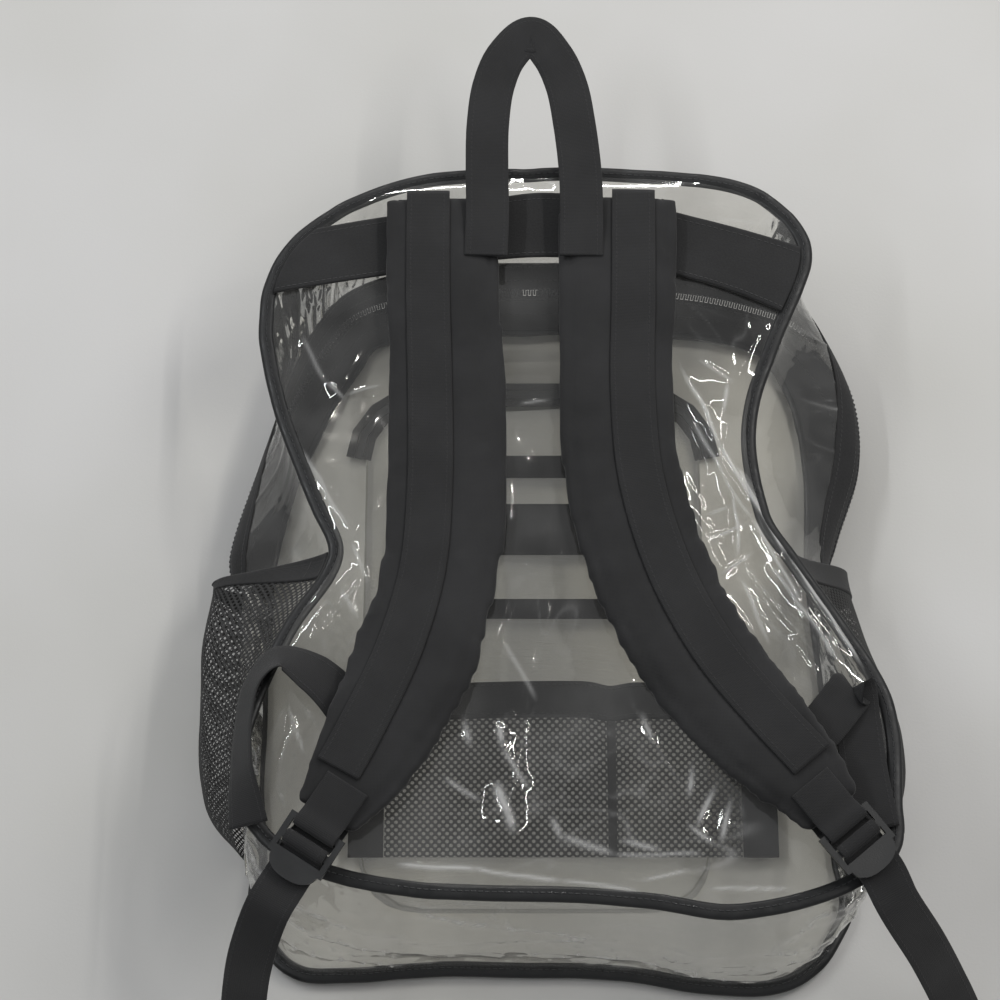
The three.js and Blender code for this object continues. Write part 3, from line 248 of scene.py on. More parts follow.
# across, along, above, facing, lean
RIGHT_TAIL = np.array([
    [1.035, -1.01, 1.06, 42, 0],
    [1.14, -1.09, 0.78, 40, 0],
    [1.24, -1.165, 0.42, 38, 0],
    [1.34, -1.25, 0.08, 37, 0],
    [1.46, -1.37, 0.011, 36, 0],
    [1.57, -1.5, 0.011, 36, 0],
])
# Places where the clear sheet is crumpled: x, y, reach, strength, way of the folds in degrees, length
# of a fold over its width
CRUMPLES = np.array([
    [92, -5, 40, 0.7, -62, 6],
    [118, -62, 36, 0.8, -58, 6],
    [150, -95, 26, 0.6, -50, 4],
    [-118, -58, 24, 0.8, 62, 5],
    [-141, -150, 32, 0.9, 78, 4],
    [-132, -185, 26, 0.7, 10, 3],
    [108, 168, 34, 0.6, -22, 6],
    [-130, 168, 30, 0.3, 25, 5],
    [96, 120, 30, 0.3, -70, 5],
    [-20, -155, 30, 0.6, 84, 5],
    [45, -150, 34, 0.6, -58, 5],
    [15, -195, 60, 0.5, 4, 7],
    [110, -198, 40, 0.8, -8, 6],
    [0, -60, 40, 0.25, 70, 5],
])
# Long sharp folds of the back panel: from x, y, to x, y, height, half width
FOLDS = np.array([
    [74, 96, 98, 37, 1.8, 3.0],
    [98, 37, 134, -29, 2.2, 3.2],
    [134, -29, 170, -94, 2.0, 3.2],
    [84, 51, 99, 20, 1.5, 2.6],
    [99, 20, 114, -6, 1.2, 2.6],
    [108, 24, 131, -27, 2.2, 2.8],
    [105, 9, 106, -27, 1.6, 2.6],
    [114, -6, 138, -57, 1.4, 3.0],
    [76, 4, 96, -37, 1.5, 2.4],
    [80, -23, 110, -10, 1.5, 2.2],
    [90, -44, 113, -27, 1.5, 2.2],
    [89, -3, 103, 3, 1.1, 2.2],
    [122, -34, 159, -96, 1.3, 3.0],
    [107, -43, 121, -80, 1.4, 3.0],
    [-27, -127, -25, -142, 1.8, 4.3],
    [-25, -142, -11, -164, 1.4, 3.6],
    [-27, -161, -19, -188, 2.4, 6.9],
    [2, -179, 7, -192, 1.4, 4.0],
    [50, -122, 56, -139, 1.8, 4.6],
    [78, -148, 74, -168, 1.9, 4.0],
    [89, -159, 78, -184, 1.9, 4.0],
    [97, -164, 91, -193, 1.8, 4.0],
    [100, -167, 103, -180, 1.5, 3.6],
    [73, -184, 87, -194, 1.5, 3.6],
    [38, -192, 58, -197, 1.3, 4.0],
    [6, -189, 34, -200, 1.1, 4.9],
    [34, -200, 80, -199, 1.1, 3.0],
    [-41, -207, 6, -213, 1.6, 3.0],
    [6, -213, 47, -219, 1.4, 3.0],
    [48, -213, 74, -208, 1.4, 2.6],
    [-79, -204, -37, -208, 1.8, 3.0],
    [84, -217, 126, -217, 1.4, 2.6],
    [-47, -119, -42, -140, 1.8, 4.9],
    [-55, -158, -36, -170, 1.2, 3.6],
    [-140, -115, -149, -135, 1.4, 2.2],
    [-140, -115, -127, -151, 1.3, 2.2],
    [-148, -148, -139, -175, 1.2, 2.4],
    [-158, -170, -139, -188, 1.2, 2.2],
    [-135, -109, -123, -131, 1.2, 2.2],
    [-122, -80, -117, -96, 1.5, 2.2],
    [-118, -87, -106, -92, 1.2, 2.0],
    [-113, -51, -95, -80, 1.6, 2.6],
    [-95, -55, -109, -86, 1.4, 2.4],
    [-107, -22, -96, -51, 1.2, 2.6],
    [-139, 109, -126, 80, 0.7, 3.0],
    [-126, 80, -113, 68, 1.2, 2.4],
    [-113, 71, -82, 80, 1.0, 2.4],
    [-137, 38, -111, -10, 1.0, 4.0],
    [8, 109, 6, 80, 1.3, 2.6],
    [-23, -80, -7, -114, 0.8, 3.0],
    [50, -80, 61, -114, 1.2, 2.6],
    [22, -10, 29, -57, 0.7, 3.5],
    [-14, 65, 4, 68, 1.0, 2.4],
    [84, 182, 137, 166, 1.8, 3.2],
    [90, 189, 125, 185, 1.3, 2.8],
    [56, 196, 90, 192, 1.0, 3.0],
    [88, 93, 107, 78, 1.0, 2.6],
    [103, 78, 99, 55, 1.4, 3.0],
])


def unit(v):
    """Vectors made one long."""
    return v / np.maximum(np.linalg.norm(v, axis=-1, keepdims=True), 1e-12)


def smooth(x, low, high):
    """0 below low and 1 above high, with a soft step between them."""
    t = np.clip((x - low) / (high - low), 0, 1)
    return t * t * (3 - 2 * t)


def read(table, x):
    """A table's columns at x: a cubic between rows whose slope is that between the two neighbours."""
    xs, ys = table[:, 0], table[:, 1:]
    slope = np.diff(ys, axis=0) / np.diff(xs)[:, None]
    m = np.empty_like(ys)
    m[1:-1] = (ys[2:] - ys[:-2]) / (xs[2:] - xs[:-2])[:, None]
    m[0], m[-1] = 1.5 * slope[0] - 0.5 * m[1], 1.5 * slope[-1] - 0.5 * m[-2]
    x = np.clip(np.asarray(x, float), xs[0], xs[-1])
    i = np.clip(np.searchsorted(xs, x, side="right") - 1, 0, len(xs) - 2)
    h = xs[i + 1] - xs[i]
    t = ((x - xs[i]) / h)[..., None]
    h = h[..., None]
    return ((2 * t**3 - 3 * t**2 + 1) * ys[i] + (t**3 - 2 * t**2 + t) * h * m[i]
            + (3 * t**2 - 2 * t**3) * ys[i + 1] + (t**3 - t**2) * h * m[i + 1])


def curve(points, shares):
    """A centripetal Catmull-Rom line through points, at shares 0 to 1 counted evenly by point."""
    p = np.asarray(points, float)
    p = np.vstack([2 * p[0] - p[1], p, 2 * p[-1] - p[-2]])
    place = np.clip(shares, 0, 1) * (len(p) - 3)
    k = np.minimum(place.astype(int), len(p) - 4)
    w = (place - k)[:, None]
    a, b, c, d = p[k], p[k + 1], p[k + 2], p[k + 3]
    d0, d1, d2 = (np.sqrt(np.linalg.norm(q - r, axis=1, keepdims=True)) for q, r in ((b, a), (c, b), (d, c)))
    t1 = ((b - a) / d0 - (c - a) / (d0 + d1) + (c - b) / d1) * d1
    t2 = ((c - b) / d1 - (d - b) / (d1 + d2) + (d - c) / d2) * d1
    return b + t1 * w + (3 * c - 3 * b - 2 * t1 - t2) * w**2 + (2 * b - 2 * c + t1 + t2) * w**3


def grid(start, end, rows, low, high, columns):
    """Two arrays, rows by columns: the first runs from start to end, the second from low to high."""
    return np.meshgrid(np.linspace(start, end, rows), np.linspace(low, high, columns), indexing="ij")


def noise(x, y, cell, seed):
    """Smooth noise from -1 to 1: random values on a lattice of that cell, blended between its corners."""
    rng = np.random.default_rng(seed)
    lattice = rng.uniform(-1, 1, (256, 256))
    u, v = x / cell + 57.3, y / cell + 91.7
    i, j = np.floor(u).astype(int), np.floor(v).astype(int)
    f, g = u - i, v - j
    f, g = f * f * f * (f * (6 * f - 15) + 10), g * g * g * (g * (6 * g - 15) + 10)
    i, j = i % 255, j % 255
    return ((lattice[i, j] * (1 - f) + lattice[i + 1, j] * f) * (1 - g)
            + (lattice[i, j + 1] * (1 - f) + lattice[i + 1, j + 1] * f) * g)


def creased(x, y, cell, seed):
    """Sharp crease lines from 0 to 1: they run where two smooth noises cross zero."""
    warp = 0.5 * cell * noise(x, y, 2.3 * cell, seed + 9)
    one = 1 - np.abs(noise(x + warp, y - warp, cell, seed)) * 1.6
    two = 1 - np.abs(noise(x - warp, y + warp, 1.5 * cell, seed + 5)) * 1.6
    return np.maximum(np.clip(one, 0, 1) ** 3, 0.8 * np.clip(two, 0, 1) ** 4)


def folded(x, y, cell, way, long, seed):
    """Long folds that run one way: crease lines in a frame turned that way and drawn out along it."""
    turn = np.radians(way)
    along = x * np.cos(turn) + y * np.sin(turn)
    across = y * np.cos(turn) - x * np.sin(turn)
    across = across + 0.35 * cell * noise(x, y, 3 * cell, seed + 3)
    value = noise(along / long, across, cell, seed)
    return np.clip(1 - 1.9 * np.abs(value), 0, 1) ** 2.2


def patches(x, y):
    """Each crumpled patch's strength at x, y, which fades with distance, and its big and small folds."""
    for k, (px, py, reach, strength, way, long) in enumerate(CRUMPLES):
        share = strength * np.exp(-(((x - px) ** 2 + (y - py) ** 2) / reach**2) ** 1.3)
        yield (share, folded(x, y, BIG_FOLD, way, long, 11 + 7 * k),
               folded(x, y, SMALL_FOLD, way + 14, long, 13 + 7 * k))


def crumpled(x, y):
    """Height of the crumples: each patch adds its own folds, and sinks a little between them."""
    height = np.zeros_like(x)
    for share, big, small in patches(x, y):
        height += share * (2.4 * big + 0.8 * small - 0.9)
    return height


def long_folds(x, y):
    """Height of the table's folds, and how much painted highlight lies on their crests, from 0 to 1.

    Each fold is a bell across its line, which wanders a little, and it fades at its ends. The painted
    highlight on the crest is a narrower bell. The folds of the crumpled patches get the painted highlight
    along their sharpest lines.
    """
    height, crest_highlight = np.zeros_like(x), np.zeros_like(x)
    wander = noise(x, y, BIG_FOLD, 31)
    for x0, y0, x1, y1, rise, width in FOLDS:
        size = np.hypot(x1 - x0, y1 - y0)
        dx, dy = (x1 - x0) / size, (y1 - y0) / size
        along = (x - x0) * dx + (y - y0) * dy
        across = (x - x0) * dy - (y - y0) * dx + wander
        fade = smooth(along, -3, 7) * smooth(size - along, -3, 7)
        height += rise * fade * np.exp(-np.abs(across / width) ** 1.6)
        # Painted highlight: a narrow lighter line on each fold's crest, where the sheet's glints run.
        crest_highlight = np.maximum(crest_highlight, min(1, rise / 2) * fade * np.exp(-(across / (0.34 * width)) ** 2))
    # Painted highlight along the crumpled patches' sharpest folds.
    for share, big, small in patches(x, y):
        crest_highlight = np.maximum(crest_highlight, 0.5 * share * big**9)
        crest_highlight = np.maximum(crest_highlight, 0.35 * share * small**7)
    return height, crest_highlight


# The bag's form

def round_norm(u, v):
    """Size of u, v by a rounded square: 1 on the outline."""
    return (np.abs(u) ** CORNER_POWER + np.abs(v) ** CORNER_POWER) ** (1 / CORNER_POWER)


def rim_square(walk):
    """A walk round a square: up the right side, left along the top, down the left and back."""
    place = (np.asarray(walk, float) % 1) * 4
    step = 2 * (place % 1) - 1
    one = np.ones_like(step)
    side = np.minimum(place.astype(int), 3)
    return np.choose(side, [one, -step, -one, step]), np.choose(side, [step, one, -step, -one])


def rim_walk(u, v):
    """The walk, 0 to 1, at which a ray through u, v meets the square."""
    size = np.maximum(np.abs(u), np.abs(v))
    a, b = u / size, v / size
    return np.select([a >= 1, b >= 1, a <= -1], [(b + 1) / 8, 0.25 + (1 - a) / 8, 0.5 + (1 - b) / 8],
                     0.75 + (a + 1) / 8)


def hang(a, b, column):
    """How far the bottom edge hangs below an even curve: all of it at the bottom, none in the upper half."""
    return read(BOTTOM_EDGES, a)[..., column] * np.maximum(0, -np.asarray(b, float)) ** 6


def half_width(row, x, left, right):
    """A section's half width on the side of x, from the columns of the left and the right side."""
    return np.where(x < 0, row[..., left], row[..., right]) * HALF_WIDTH


def back_place(a, b):
    """A point of the back panel at shares of its half width and half height."""
    row = read(SECTIONS, b)
    y = (b + row[..., TILT] * a - hang(a, b, 0)) * HALF_HEIGHT
    return np.stack([a * half_width(row, a, BACK_LEFT, BACK_RIGHT), y, row[..., RISE] * DEPTH], -1)


def front_place(a, b):
    """A point of the front panel at shares of its half width and half height."""
    row = read(SECTIONS, b)
    half = half_width(row, a, FRONT_LEFT, FRONT_RIGHT)
    level = np.full_like(half, FRONT_LEVEL - BINDING_THICKNESS / 4)
    return np.stack([a * half, (row[..., FRONT] - hang(a, b, 1)) * HALF_HEIGHT, level], -1)


def rim(place, walk, inset=0.0):
    """The panel's edge at a walk round it, moved in by inset, and the level direction inwards."""
    def at(w):
        u, v = rim_square(w)
        size = round_norm(u, v)
        return place(u / size, v / size)

    along = at(walk + 0.002) - at(walk - 0.002)
    along[..., 2] = 0
    inward = np.cross(UP, unit(along))
    return at(walk) + inward * inset, inward


def back_share(x, y):
    """How far out x, y lies on the back panel: 0 in its middle and 1 at its rim."""
    b = np.clip(y / HALF_HEIGHT, -1, 1)
    row = read(SECTIONS, b)
    return np.minimum(1, round_norm(x / half_width(row, x, BACK_LEFT, BACK_RIGHT), b))


def back_height(x, y):
    """The rim's height, a crown that fades towards it, and the creases as soft ridges along lines."""
    share = back_share(x, y)
    height = read(SECTIONS, y / HALF_HEIGHT)[..., RISE] * DEPTH + CROWN * (1 - share**4)
    for x0, y0, x1, y1, rise, width in CREASES:
        start = np.array([x0 * HALF_WIDTH, y0 * HALF_HEIGHT])
        line = np.array([x1 * HALF_WIDTH, y1 * HALF_HEIGHT]) - start
        here = np.stack([x, y], -1) - start
        t = np.clip((here @ line) / (line @ line), 0, 1)
        away = np.linalg.norm(here - t[..., None] * line, axis=-1) / (width * 2 * HALF_WIDTH)
        height = height + rise * DEPTH * np.exp(-away * away) * (1 - share**8)
    return height


def seat_height(x, y):
    """What a strap rests on: the back panel's face, or the binding's near the rim."""
    panel = back_height(x, y) + SHEET / 2
    binding = read(SECTIONS, y / HALF_HEIGHT)[..., RISE] * DEPTH + BINDING_THICKNESS / 2
    return np.where(back_share(x, y) > 0.9, np.maximum(panel, binding), panel)


def wall(walk, down, inset=WALL_INSET, extra=0.0):
    """The side wall: a straight line from the back edge to the front edge, swollen outwards by a bow."""
    high, inward = rim(back_place, walk, inset)
    low, inward_low = rim(front_place, walk, inset)
    high[..., 2] -= BINDING_THICKNESS / 2 + EDGE_GAP
    low[..., 2] += BINDING_THICKNESS / 2 + EDGE_GAP
    u, v = rim_square(walk)
    size = round_norm(u, v)
    row = read(SECTIONS, v / size)
    right = (u / size + 1) / 2
    bulge = row[..., BULGE_LEFT] * (1 - right) + row[..., BULGE_RIGHT] * right
    pocket = row[..., POCKET_LEFT] * (1 - right) + row[..., POCKET_RIGHT] * right
    out = -unit(inward + inward_low)
    swell = (bulge + (pocket - bulge) * extra) * DEPTH * np.sin(np.pi * down ** row[..., BOW])
    down = np.asarray(down, float)[..., None]
    return high * (1 - down) + low * down + out * np.asarray(swell)[..., None]


def wall_outward(walk):
    """The level direction out of the wall at a walk round it."""
    return unit(-(rim(back_place, walk)[1] + rim(front_place, walk)[1]))


# Meshes

def mesh_object(name, points, faces, uv, material, nodes, slot, outward=None):
    """A mesh in metres from points in millimetres. faces is an (n, 4) array, uv one pair per point.

    All faces turn over together where they look away from outward, one direction per face, or without
    it from the direction out of the points' middle.
    """
    points = np.asarray(points, float).reshape(-1, 3)
    faces = np.asarray(faces, int)
    a, b, c = points[faces[:, 0]], points[faces[:, 1]], points[faces[:, 2]]
    normal = np.cross(b - a, c - a)
    if outward is None:
        outward = (points - points.mean(0))[faces[:, 0]]
    if (normal * np.asarray(outward, float)).sum() < 0:
        faces = faces[:, ::-1]
    data = bpy.data.meshes.new(name)
    data.vertices.add(len(points))
    data.vertices.foreach_set("co", (points / 1000).ravel())
    data.loops.add(faces.size)
    data.loops.foreach_set("vertex_index", faces.ravel())
    data.polygons.add(len(faces))
    data.polygons.foreach_set("loop_start", np.arange(len(faces)) * 4)
    data.polygons.foreach_set("use_smooth", np.ones(len(faces), bool))
    layer = data.uv_layers.new(name="UVMap")
    layer.data.foreach_set("uv", (np.asarray(uv, float).reshape(-1, 2)[faces.ravel()] / 1000).ravel())
    data.update(calc_edges=True)
    data.materials.append(material)
    obj = bpy.data.objects.new(name, data)
    bpy.context.scene.collection.objects.link(obj)
    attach(obj, "root")
    if nodes:
        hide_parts(*nodes)
    return obj


def grid_faces(n, m, wrap=False):
    """Quads of an n by m grid of points; wrap joins the last column to the first."""
    i, j = np.meshgrid(np.arange(n - 1), np.arange(m if wrap else m - 1), indexing="ij")
    k = (j + 1) % m
    return np.stack([i * m + j, i * m + k, (i + 1) * m + k, (i + 1) * m + j], -1).reshape(-1, 4)


def running(line):
    """Length from a line's start to each of its points."""
    return np.concatenate([[0], np.cumsum(np.linalg.norm(np.diff(line, axis=0), axis=1))])


def lengths(points):
    """Running length along the first axis of a grid's middle line."""
    return running(points[:, points.shape[1] // 2])


def surface(name, points, material, nodes, slot, outward=None, thickness=0.0):
    """An open sheet over a grid of points; a Solidify modifier gives it its thickness."""
    n, m = points.shape[:2]
    across = np.linalg.norm(np.diff(points, axis=1), axis=2).mean(0)
    u = np.broadcast_to(lengths(points)[:, None], (n, m))
    v = np.broadcast_to(np.concatenate([[0], np.cumsum(across)]), (n, m))
    obj = mesh_object(name, points, grid_faces(n, m), np.stack([u, v], -1), material, nodes, slot, outward)
    if thickness:
        solid = obj.modifiers.new("thickness", "SOLIDIFY")
        solid.thickness = thickness / 1000
        solid.offset = 0.0
    return obj


def mark_crease_highlights(obj, crest_highlight):
    """Stores how much painted highlight each point gets along the fold crests, for the clear sheet's
    material.
    """
    layer = obj.data.attributes.new("crease", "FLOAT", "POINT")
    layer.data.foreach_set("value", np.asarray(crest_highlight, np.float32).ravel())


def profile(width, thickness, count=24, square=4.0):
    """A closed rounded section: a superellipse of the given width and thickness."""
    t = np.linspace(0, 2 * np.pi, count, endpoint=False)
    c, s = np.cos(t), np.sin(t)
    size = (np.abs(c) ** square + np.abs(s) ** square) ** (-1 / square)
    return np.stack([c * size * width / 2, s * size * thickness / 2], -1)


def frames_along(points, side):
    """Sides made square to the line, and normals, for a run of points."""
    tangent = unit(np.gradient(points, axis=0))
    side = unit(side - (side * tangent).sum(-1, keepdims=True) * tangent)
    return side, unit(np.cross(side, tangent))


def sweep_points(points, side, normal, section):
    """A section carried along a line: each point is the line's, plus side and normal steps."""
    section = np.broadcast_to(section, (len(points),) + section.shape[-2:])
    return points[:, None] + side[:, None] * section[..., :1] + normal[:, None] * section[..., 1:]


def tube(name, points, side, normal, section, material, nodes, slot):
    """A closed sweep with its two ends shut by a rim that shrinks to the middle."""
    body = sweep_points(points, side, normal, section)
    first, last = body[:1], body[-1:]
    middle, far = first.mean(1, keepdims=True), last.mean(1, keepdims=True)
    body = np.concatenate([middle + (first - middle) * 0.02, middle + (first - middle) * 0.94, body,
                           far + (last - far) * 0.94, far + (last - far) * 0.02])
    n, m = body.shape[:2]
    flat = running(np.broadcast_to(section, (len(points),) + section.shape[-2:])[0])
    uv = np.stack([np.broadcast_to(lengths(body)[:, None], (n, m)), np.broadcast_to(flat, (n, m))], -1)
    return mesh_object(name, body, grid_faces(n, m, wrap=True), uv, material, nodes, slot)


def repeat(name, template, quads, origins, axes, material, nodes, slot):
    """Copies of one small solid: its corners turned by each of the axes and moved to each origin."""
    points = origins[:, None] + np.einsum("kc,ncd->nkd", template, axes)
    faces = (np.arange(len(origins))[:, None, None] * len(template) + quads[None]).reshape(-1, 4)
    uv = np.zeros((points.shape[0] * points.shape[1], 2))
    normals = np.einsum("kc,ncd->nkd", template, axes)[:, quads].mean(2).reshape(-1, 3)
    return mesh_object(name, points, faces, uv, material, nodes, slot, normals)


def net(name, place, long, wide, pitch, material, nodes, slot):
    """A net of diamond cells with round holes: place(a, b) gives the cloth at shares a and b.

    Each cell is a diamond round its centre. Eight points lie on its edge and eight on the hole's
    edge, which is sunk a little, so that the strands between the holes are rounded.
    """
    rows, columns = int(2 * long / pitch), int(2 * wide / pitch)
    i, j = np.meshgrid(np.arange(rows + 1), np.arange(columns + 1), indexing="ij")
    keep = (i + j) % 2 == 0
    centre = np.stack([i[keep] / rows, j[keep] / columns], -1)
    turn = np.arange(8) * np.pi / 4
    ring = np.stack([np.cos(turn), np.sin(turn)], -1)
    diamond = ring / np.abs(ring).sum(1, keepdims=True)
    step = np.array([1 / rows, 1 / columns])
    outer = centre[:, None] + diamond * step
    inner = centre[:, None] + ring * step * np.array([0.46, 0.5])
    flat = np.clip(np.concatenate([outer, inner], 1), 0, 1)
    points, normals = place(flat[..., 0], flat[..., 1])
    lift = np.concatenate([np.full(8, 0.22), np.full(8, -0.18)])
    points = points + normals * lift[None, :, None]
    k = np.arange(8)
    ring_faces = np.stack([k, (k + 1) % 8, 8 + (k + 1) % 8, 8 + k], -1)
    faces = (np.arange(len(centre))[:, None, None] * 16 + ring_faces).reshape(-1, 4)
    uv = flat * np.array([long, wide])
    return mesh_object(name, points, faces, uv, material, nodes, slot, np.repeat(normals[:, 0], 8, 0))


# Materials

class Look:
    """A material's node tree, with short ways to add nodes and to join them."""

    def __init__(self, name):
        self.material = bpy.data.materials.new(name)
        self.material.use_nodes = True
        self.tree = self.material.node_tree
        self.tree.nodes.clear()
        self.output = self.tree.nodes.new("ShaderNodeOutputMaterial")

    def put(self, value, socket):
        """Joins a socket's output, or writes a plain value."""
        if hasattr(value, "is_output"):
            self.tree.links.new(value, socket)
        else:
            socket.default_value = value

    def add(self, kind, values=(), **settings):
        """A new shader node, with its settings and inputs."""
        node = self.tree.nodes.new("ShaderNode" + kind)
        for key, value in settings.items():
            setattr(node, key, value)
        for key, value in dict(values).items():
            self.put(value, node.inputs[key])
        return node

    def math(self, operation, a, b=0.0, c=0.0):
        """The result of a sum on sockets or numbers."""
        return self.add("Math", {0: a, 1: b, 2: c}, operation=operation).outputs[0]

    def ramp(self, value, low, high, to_low=0.0, to_high=1.0):
        """A value taken smoothly from one range to another."""
        return self.add("MapRange", {"Value": value, "From Min": low, "From Max": high, "To Min": to_low,
                                     "To Max": to_high}, interpolation_type="SMOOTHSTEP").outputs[0]

    def place(self, uv=False):
        """The point's place on the object, or in its map."""
        found = self.add("TexCoord")
        return found.outputs["UV" if uv else "Object"]

    def noise(self, vector, scale, detail=3.0, rough=0.55):
        """Cloudy noise."""
        return self.add("TexNoise", {"Vector": vector, "Scale": scale, "Detail": detail,
                                     "Roughness": rough}).outputs["Fac"]

    def wave(self, vector, scale, axis):
        """Even bands across an axis."""
        return self.add("TexWave", {"Vector": vector, "Scale": scale, "Distortion": 0.4, "Detail": 1.0},
                        bands_direction=axis).outputs["Fac"]

    def bump(self, height, distance, strength=1.0, normal=None):
        """A normal bent by a height, on top of another normal if one is given."""
        values = {"Height": height, "Distance": distance, "Strength": strength}
        if normal is not None:
            values["Normal"] = normal
        return self.add("Bump", values).outputs["Normal"]

    def mix(self, factor, a, b):
        """A mix of two colours."""
        node = self.add("Mix", {0: factor}, data_type="RGBA")
        for socket, value in ((node.inputs[6], a), (node.inputs[7], b)):
            self.put(value if hasattr(value, "is_output") else (*value, 1.0), socket)
        return node.outputs[2]

    def surface(self, **values):
        """Ends the tree in a Principled shader, whose inputs have _ for a space."""
        names = {key.replace("_", " "): value for key, value in values.items()}
        shader = self.add("BsdfPrincipled", names)
        self.tree.links.new(shader.outputs[0], self.output.inputs["Surface"])
        return self.material


def toned(colour, factor):
    """A colour made darker or lighter."""
    return tuple(factor * c for c in colour)


def stitches(look, uv, rows, pitch=3.4, width=0.55, share=0.62):
    """Sewn lines along u at the given distances v: 1 on a stitch's thread and 0 off it."""
    split = look.add("SeparateXYZ", {0: uv})
    along, across = split.outputs[0], split.outputs[1]
    found = None
    for row in rows:
        away = look.math("ABSOLUTE", look.math("SUBTRACT", across, row / 1000))
        line = look.ramp(away, 0, width / 1000, 1, 0)
        found = line if found is None else look.math("MAXIMUM", found, line)
    phase = look.math("FRACT", look.math("DIVIDE", along, pitch / 1000))
    off = look.math("ABSOLUTE", look.math("SUBTRACT", phase, 0.5))
    dash = look.ramp(off, share / 2 - 0.06, share / 2 + 0.06, 1, 0)
    return look.math("MULTIPLY", found, dash)


def clear_sheet(name, smooth_side, through, haze):
    """Clear flexible sheet: a faint tint, a sharp sheen, haze that lies on it in clouds, and a painted
    highlight, a milky line, along the fold crests.

    A shadow ray takes the short way, a plain tint, so that light reaches what lies inside the bag.
    """
    look = Look(name)
    place = look.place()
    broad = look.noise(place, 24, 2, 0.5)
    bend = look.bump(broad, 0.0016, smooth_side)
    fresnel = look.add("Fresnel", {"IOR": 1.5, "Normal": bend}).outputs[0]
    share = look.math("MULTIPLY_ADD", fresnel, 1.6, 0.01)
    clear = look.add("BsdfTransparent", {"Color": (*through, 1)}).outputs[0]
    gloss = look.add("BsdfGlossy", {"Color": (0.97, 0.97, 0.96, 1), "Roughness": 0.05,
                                    "Normal": bend}).outputs[0]
    both = look.add("MixShader", {0: share, 1: clear, 2: gloss}).outputs[0]
    if haze:
        milk_and_highlight = look.add("BsdfDiffuse", {"Color": (0.82, 0.82, 0.81, 1)}).outputs[0]
        # Painted highlight: the crease attribute lays the milky diffuse along the fold crests, as lighter
        # lines where the glints run. The cloudy part from the broad noise is the sheet's own haze.
        crest_highlight = look.add("Attribute", attribute_name="crease").outputs["Fac"]
        haze_and_highlight = look.math("MULTIPLY_ADD", crest_highlight, 0.5, look.ramp(broad, 0.3, 0.75, haze / 4, haze))
        both = look.add("MixShader", {0: haze_and_highlight, 1: both, 2: milk_and_highlight}).outputs[0]
    tint = look.add("BsdfTransparent", {"Color": (*toned(through, 0.985), 1)}).outputs[0]
    shadow = look.add("LightPath").outputs["Is Shadow Ray"]
    last = look.add("MixShader", {0: shadow, 1: both, 2: tint}).outputs[0]
    look.tree.links.new(last, look.output.inputs["Surface"])
    return look.material


def woven(name, colour, lift=1.0, rows=(), pitch=3.4, scale=1.0):
    """Plain woven nylon: two crossed wave patterns, faded threads, and sewn lines where rows say so."""
    look = Look(name)
    uv = look.place(True)
    weft = look.wave(uv, 520 * scale, "X")
    warp = look.wave(uv, 520 * scale, "Y")
    weave = look.math("MULTIPLY", weft, warp)
    fuzz = look.noise(uv, 900, 2)
    soft = look.noise(look.place(), 22, 4)
    height = look.math("MULTIPLY_ADD", fuzz, 0.4, weave)
    bend = look.bump(height, 0.00022, 0.55 * lift)
    bend = look.bump(soft, 0.0016, 0.22, bend)
    base = look.mix(look.ramp(soft, 0.3, 0.7), toned(colour, 0.86), toned(colour, 1.18))
    base = look.mix(look.math("MULTIPLY", weave, 0.3), base, toned(colour, 1.6))
    if rows:
        sewn = stitches(look, uv, rows, pitch)
        base = look.mix(look.math("MULTIPLY", sewn, 0.55), base, toned(colour, 2.0))
        bend = look.bump(sewn, 0.0005, 0.8, bend)
    return look.surface(Base_Color=base, Roughness=look.ramp(fuzz, 0.3, 0.7, 0.66, 0.85), Normal=bend,
                        Specular_IOR_Level=0.32, Sheen_Weight=0.12, Sheen_Roughness=0.5)


def webbing_look(name, rows=(3, 22)):
    """Ribbed webbing: fine ribs across it, a selvedge at each edge, and sewn lines."""
    look = Look(name)
    uv = look.place(True)
    split = look.add("SeparateXYZ", {0: uv})
    ribs = look.wave(uv, 330, "X")
    threads = look.wave(uv, 640, "Y")
    twill = look.wave(look.add("Mapping", {"Vector": uv, "Rotation": (0, 0, 0.7)}).outputs[0], 420, "X")
    height = look.math("MULTIPLY_ADD", twill, 0.5, look.math("MULTIPLY", ribs, threads))
    soft = look.noise(look.place(), 30, 3)
    bend = look.bump(height, 0.00028, 0.6)
    bend = look.bump(soft, 0.0012, 0.2, bend)
    tone = look.math("MULTIPLY_ADD", height, 0.35, look.ramp(soft, 0.3, 0.7, 0.0, 0.3))
    base = look.mix(tone, (0.015, 0.015, 0.0155), (0.033, 0.033, 0.034))
    sewn = stitches(look, uv, rows, 3.0)
    base = look.mix(look.math("MULTIPLY", sewn, 0.4), base, (0.045, 0.045, 0.046))
    bend = look.bump(sewn, 0.0003, 0.6, bend)
    return look.surface(Base_Color=base, Roughness=0.72, Normal=bend, Specular_IOR_Level=0.35,
                        Sheen_Weight=0.1)


def padded_look():
    """The straps' smooth tricot: a fine even knit, almost plain, with soft wear."""
    look = Look("padded_cloth")
    place = look.place()
    knit = look.math("MULTIPLY", look.wave(place, 430, "X"), look.wave(place, 430, "Y"))
    soft = look.noise(place, 16, 4)
    grain = look.noise(place, 700, 2)
    bend = look.bump(look.math("MULTIPLY_ADD", grain, 0.5, knit), 0.00018, 0.5)
    bend = look.bump(soft, 0.0025, 0.2, bend)
    base = look.mix(look.ramp(soft, 0.3, 0.7), (0.019, 0.019, 0.0195), (0.029, 0.029, 0.03))
    return look.surface(Base_Color=base, Roughness=0.8, Normal=bend, Specular_IOR_Level=0.3,
                        Sheen_Weight=0.16, Sheen_Roughness=0.45)


